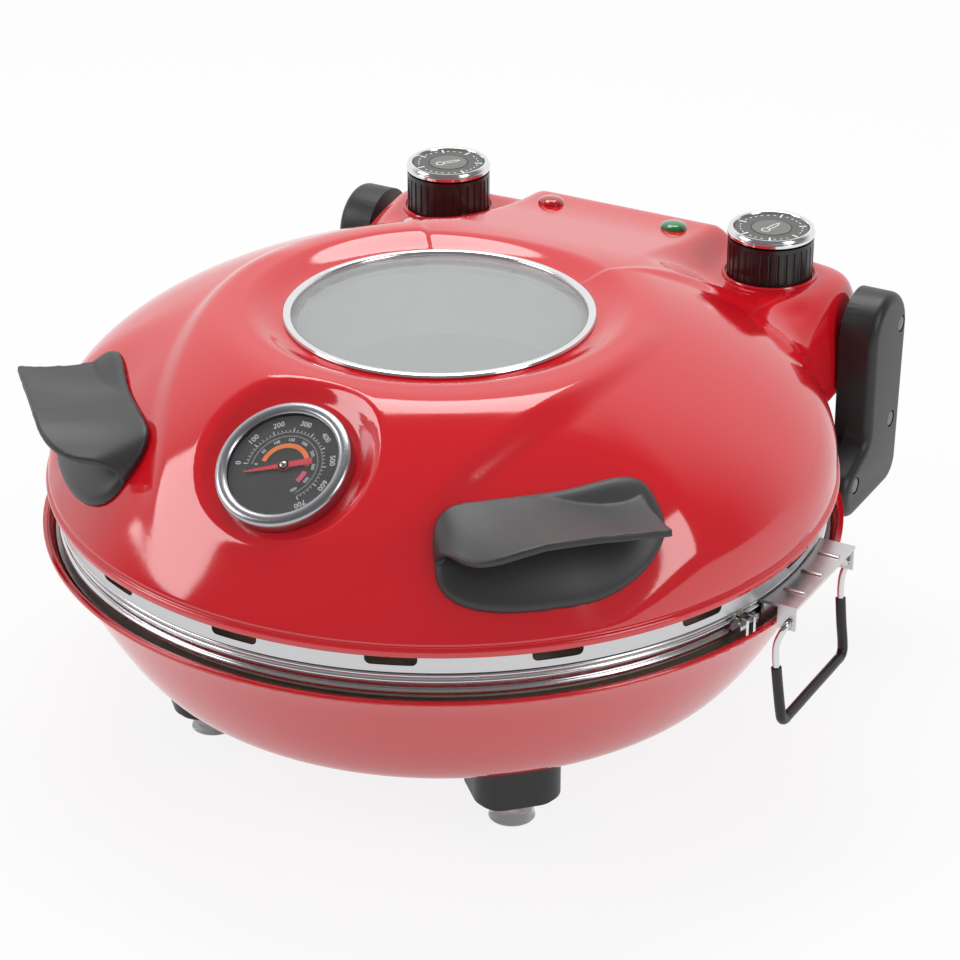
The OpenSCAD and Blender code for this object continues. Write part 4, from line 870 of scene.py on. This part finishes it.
# %% Knob faces
POINTER = {"timer": 77.0, "thermostat": 54.0}
TICKS = {"timer": (33, 96, 179, 238, 291, 342), "thermostat": (23, 80, 130, 178, 236, 327)}
for side, name in ((1, "timer"), (-1, "thermostat")):
    turn = POINTER[name]
    disc = painted(dot(17.35, 1.2, -0.6), face_dark)
    parts = [disc, painted(dot(9.2, 0.16, 0.02), face_light),
             painted(band(9.5, 0.5, 0, 360, 0.14), card_black)]
    for a in TICKS[name]:
        parts.append(painted(mark(ray_at(a, 13.0), ray_at(a, 16.6), 0.9, 0.2), print_white))
    for a in np.arange(0, 360, 12):
        if min(abs((a - b + 180) % 360 - 180) for b in TICKS[name]) > 8:
            parts.append(painted(mark(ray_at(a - 2.5, 14.6), ray_at(a + 2.5, 14.6), 0.5, 0.2), print_white))
    tail = ray_at(turn + 180, 4.4)
    head = ray_at(turn, 6.6)
    circle = painted(band(1.9, 0.55, 0, 360, 0.3), print_white)
    circle.data.transform(Matrix.Translation((*tail, 0)))
    parts.append(circle)
    across = Vector(ray_at(turn + 90, 1))
    for k in (-1, 1):
        start = Vector(ray_at(turn, -2.7)) + across * 0.9 * k
        neck = Vector(ray_at(turn, 3.2)) + across * 1.1 * k
        parts.append(painted(mark(start, neck, 0.5, 0.3), print_white))
        parts.append(painted(mark(neck, head, 0.5, 0.3), print_white))
    face = join(*parts)
    face.data.transform(Matrix.Translation((side * KNOB_X, KNOB_Y, KNOB_TOP - 1.0)))
    hand_over(face, name + "_face", name, None, [name + "_knob_face"])

# %% [markdown]
# ## The thermometer
# The card has two scales, an outer and an inner one, a coloured arc for the cooking range and
# a pointer on a turned hub. The numbers are made from text and turned into a mesh.
# Everything is made flat about the origin and then tilted onto the lid in one move.

# %% Print the card
on_gauge = Matrix.Translation((0, GAUGE_Y, GAUGE_Z)) @ Matrix.Rotation(tilt, 4, "X")
CARD_Z = -4.0
SCALE_START, SCALE_END = 190.0, -45.0


def number(text, angle, r, size):
    """A number standing on a circle of radius r."""
    clear()
    bpy.ops.object.text_add()
    word = active()
    word.data.body = text
    word.data.size = size
    word.data.align_x, word.data.align_y = "CENTER", "CENTER"
    word.data.resolution_u = 3
    word.data.extrude = 0.05
    bpy.ops.object.convert(target="MESH")
    word = active()
    word.data.transform(Matrix.Rotation(math.radians(angle - 90), 4, "Z"))
    word.data.transform(Matrix.Translation((*ray_at(angle, r), 0)))
    return word


prints = []
for i in range(41):
    a = mix(SCALE_START, SCALE_END, i / 40)
    long = i % 5 == 0
    tick = mark(ray_at(a, 16.6), ray_at(a, 18.4 if long else 17.6), 0.32 if long else 0.16)
    prints.append(painted(tick, print_white))
for i in range(61):
    a = mix(SCALE_START, SCALE_END, i / 60)
    tick = mark(ray_at(a, 14.6), ray_at(a, 15.5 if i % 6 == 0 else 15.1), 0.14)
    prints.append(painted(tick, print_grey))
for r in (16.4, 14.4):
    prints.append(painted(band(r, 0.34, SCALE_START, SCALE_END), print_grey))
for last, step, r, size in ((700, 100, 20.7, 3.4), (400, 50, 12.6, 2.0)):
    for value in range(0, last + 1, step):
        a = mix(SCALE_START, SCALE_END, value / last)
        prints.append(painted(number(str(value), a, r, size), print_white))
prints.append(painted(band(9.9, 2.1, 180, 15), print_orange))
prints.append(painted(band(9.9, 2.1, 0, -30), print_pink))
card = join(*prints)
card.data.transform(on_gauge @ Matrix.Translation((0, 0, CARD_Z + 0.05)))
hand_over(card, "gauge_print", "lid", None)

# %% Needle hub and rounded bezel
hub = lathe([(0.2, 0.9), (1.2, 0.85), (1.9, 0.4), (2.3, -0.1), (2.3, -0.5), (0.2, -0.5)], 48)
hub.data.transform(on_gauge @ Matrix.Translation((0, 0, -2.5)))
hand_over(hub, "needle_hub", "needle", brass)
BEZEL = [(24.2, -1.7), (24.2, -1.1), (24.9, -0.3), (25.6, 0.0), (27.4, 0.0), (28.6, -0.35),
         (29.3, -1.1), (BEZEL_R, -2.0), (BEZEL_R, -6.4), (29.2, -6.9), (28.1, -6.9), (28.1, -1.7)]
bezel = lathe(BEZEL, 160)
bezel.data.transform(on_gauge)
hand_over(bezel, "gauge_rim", "lid", brushed_chrome, ["gauge_bezel"])

# %% [markdown]
# ## Floor and light
# The photograph is a plain studio picture: white paper under and behind the object and large
# soft lamps. The paper shows as white to the camera and in reflections, and still takes the
# object's faint shadow. The lamps are wide rectangles, whose reflections make the long pale
# bands on the enamel.

# %% White paper
PAPER_GLOW = 0.86
clear()
bpy.ops.mesh.primitive_plane_add(size=8, location=(0, 0, -0.0005))
paper = active()
paper.name = "paper_floor"
paper_white = finish("white_paper", "#EDEDED", 0.9, IOR=1.4)
path = node(paper_white, "ShaderNodeLightPath").outputs
larger, times = {"operation": "MAXIMUM"}, {"operation": "MULTIPLY"}
direct = node(paper_white, "ShaderNodeMath", larger, i0=path["Is Camera Ray"], i1=path["Is Glossy Ray"])
seen = node(paper_white, "ShaderNodeMath", larger, i0=direct.outputs[0], i1=path["Is Transmission Ray"])
share = node(paper_white, "ShaderNodeMath", times, i0=seen.outputs[0], i1=PAPER_GLOW)
glow = node(paper_white, "ShaderNodeEmission", Strength=1.0)
both = node(paper_white, "ShaderNodeMixShader", i0=share.outputs[0],
            i1=shader_of(paper_white).outputs[0], i2=glow.outputs[0])
surface = paper_white.node_tree.nodes["Material Output"].inputs["Surface"]
paper_white.node_tree.links.new(both.outputs[0], surface)
paper.data.materials.append(paper_white)

# %% [markdown]
# The room is dim in front and overhead and white behind. A ray that the camera sends straight
# out, or through glass, meets white; a reflection meets white only towards the back, so the
# faces that look at the camera stay deep red and the top turns pale.

# %% The room
world = bpy.data.worlds.new("studio")
bpy.context.scene.world = world
world.use_nodes = True
sky = world.node_tree.nodes["Background"]
path = node(world, "ShaderNodeLightPath").outputs
way = node(world, "ShaderNodeTexCoord").outputs["Generated"]
behind = node(world, "ShaderNodeVectorMath", {"operation": "DOT_PRODUCT"}, i0=way, i1=(-0.484, 0.875, -0.15))
room = node(world, "ShaderNodeMapRange", {"interpolation_type": "SMOOTHSTEP"}, Value=behind.outputs["Value"],
            From_Min=-0.1, From_Max=0.55, To_Min=0.2, To_Max=1.0)
white = node(world, "ShaderNodeMath", larger, i0=path["Is Camera Ray"], i1=path["Is Transmission Ray"])
lit = node(world, "ShaderNodeMix", Factor=path["Is Glossy Ray"], i2=0.5, i3=room.outputs["Result"])
strength = node(world, "ShaderNodeMix", Factor=white.outputs[0], i2=lit.outputs[0], i3=1.0)
world.node_tree.links.new(strength.outputs[0], sky.inputs["Strength"])
sky.inputs["Color"].default_value = (1, 1, 1, 1)


# %% Soft lamps
def lamp(name, spot, aim, size, watts):
    light = bpy.data.lights.new(name, "AREA")
    light.shape = "RECTANGLE"
    light.size, light.size_y = size
    light.energy = watts
    holder = bpy.data.objects.new(name, light)
    holder.location = spot
    holder.rotation_euler = (Vector(aim) - Vector(spot)).to_track_quat("-Z", "Y").to_euler()
    bpy.context.scene.collection.objects.link(holder)


lamp("overhead_lamp", (-0.3, 0.5, 1.6), (0, 0, 0.15), (1.2, 0.8), 14)
lamp("left_lamp", (-1.4, -0.9, 1.1), (0, 0, 0.12), (0.9, 0.9), 10)
lamp("right_lamp", (1.4, -0.2, 1.0), (0, 0, 0.12), (0.6, 1.0), 7)

# %% Finish
print("scene finished")
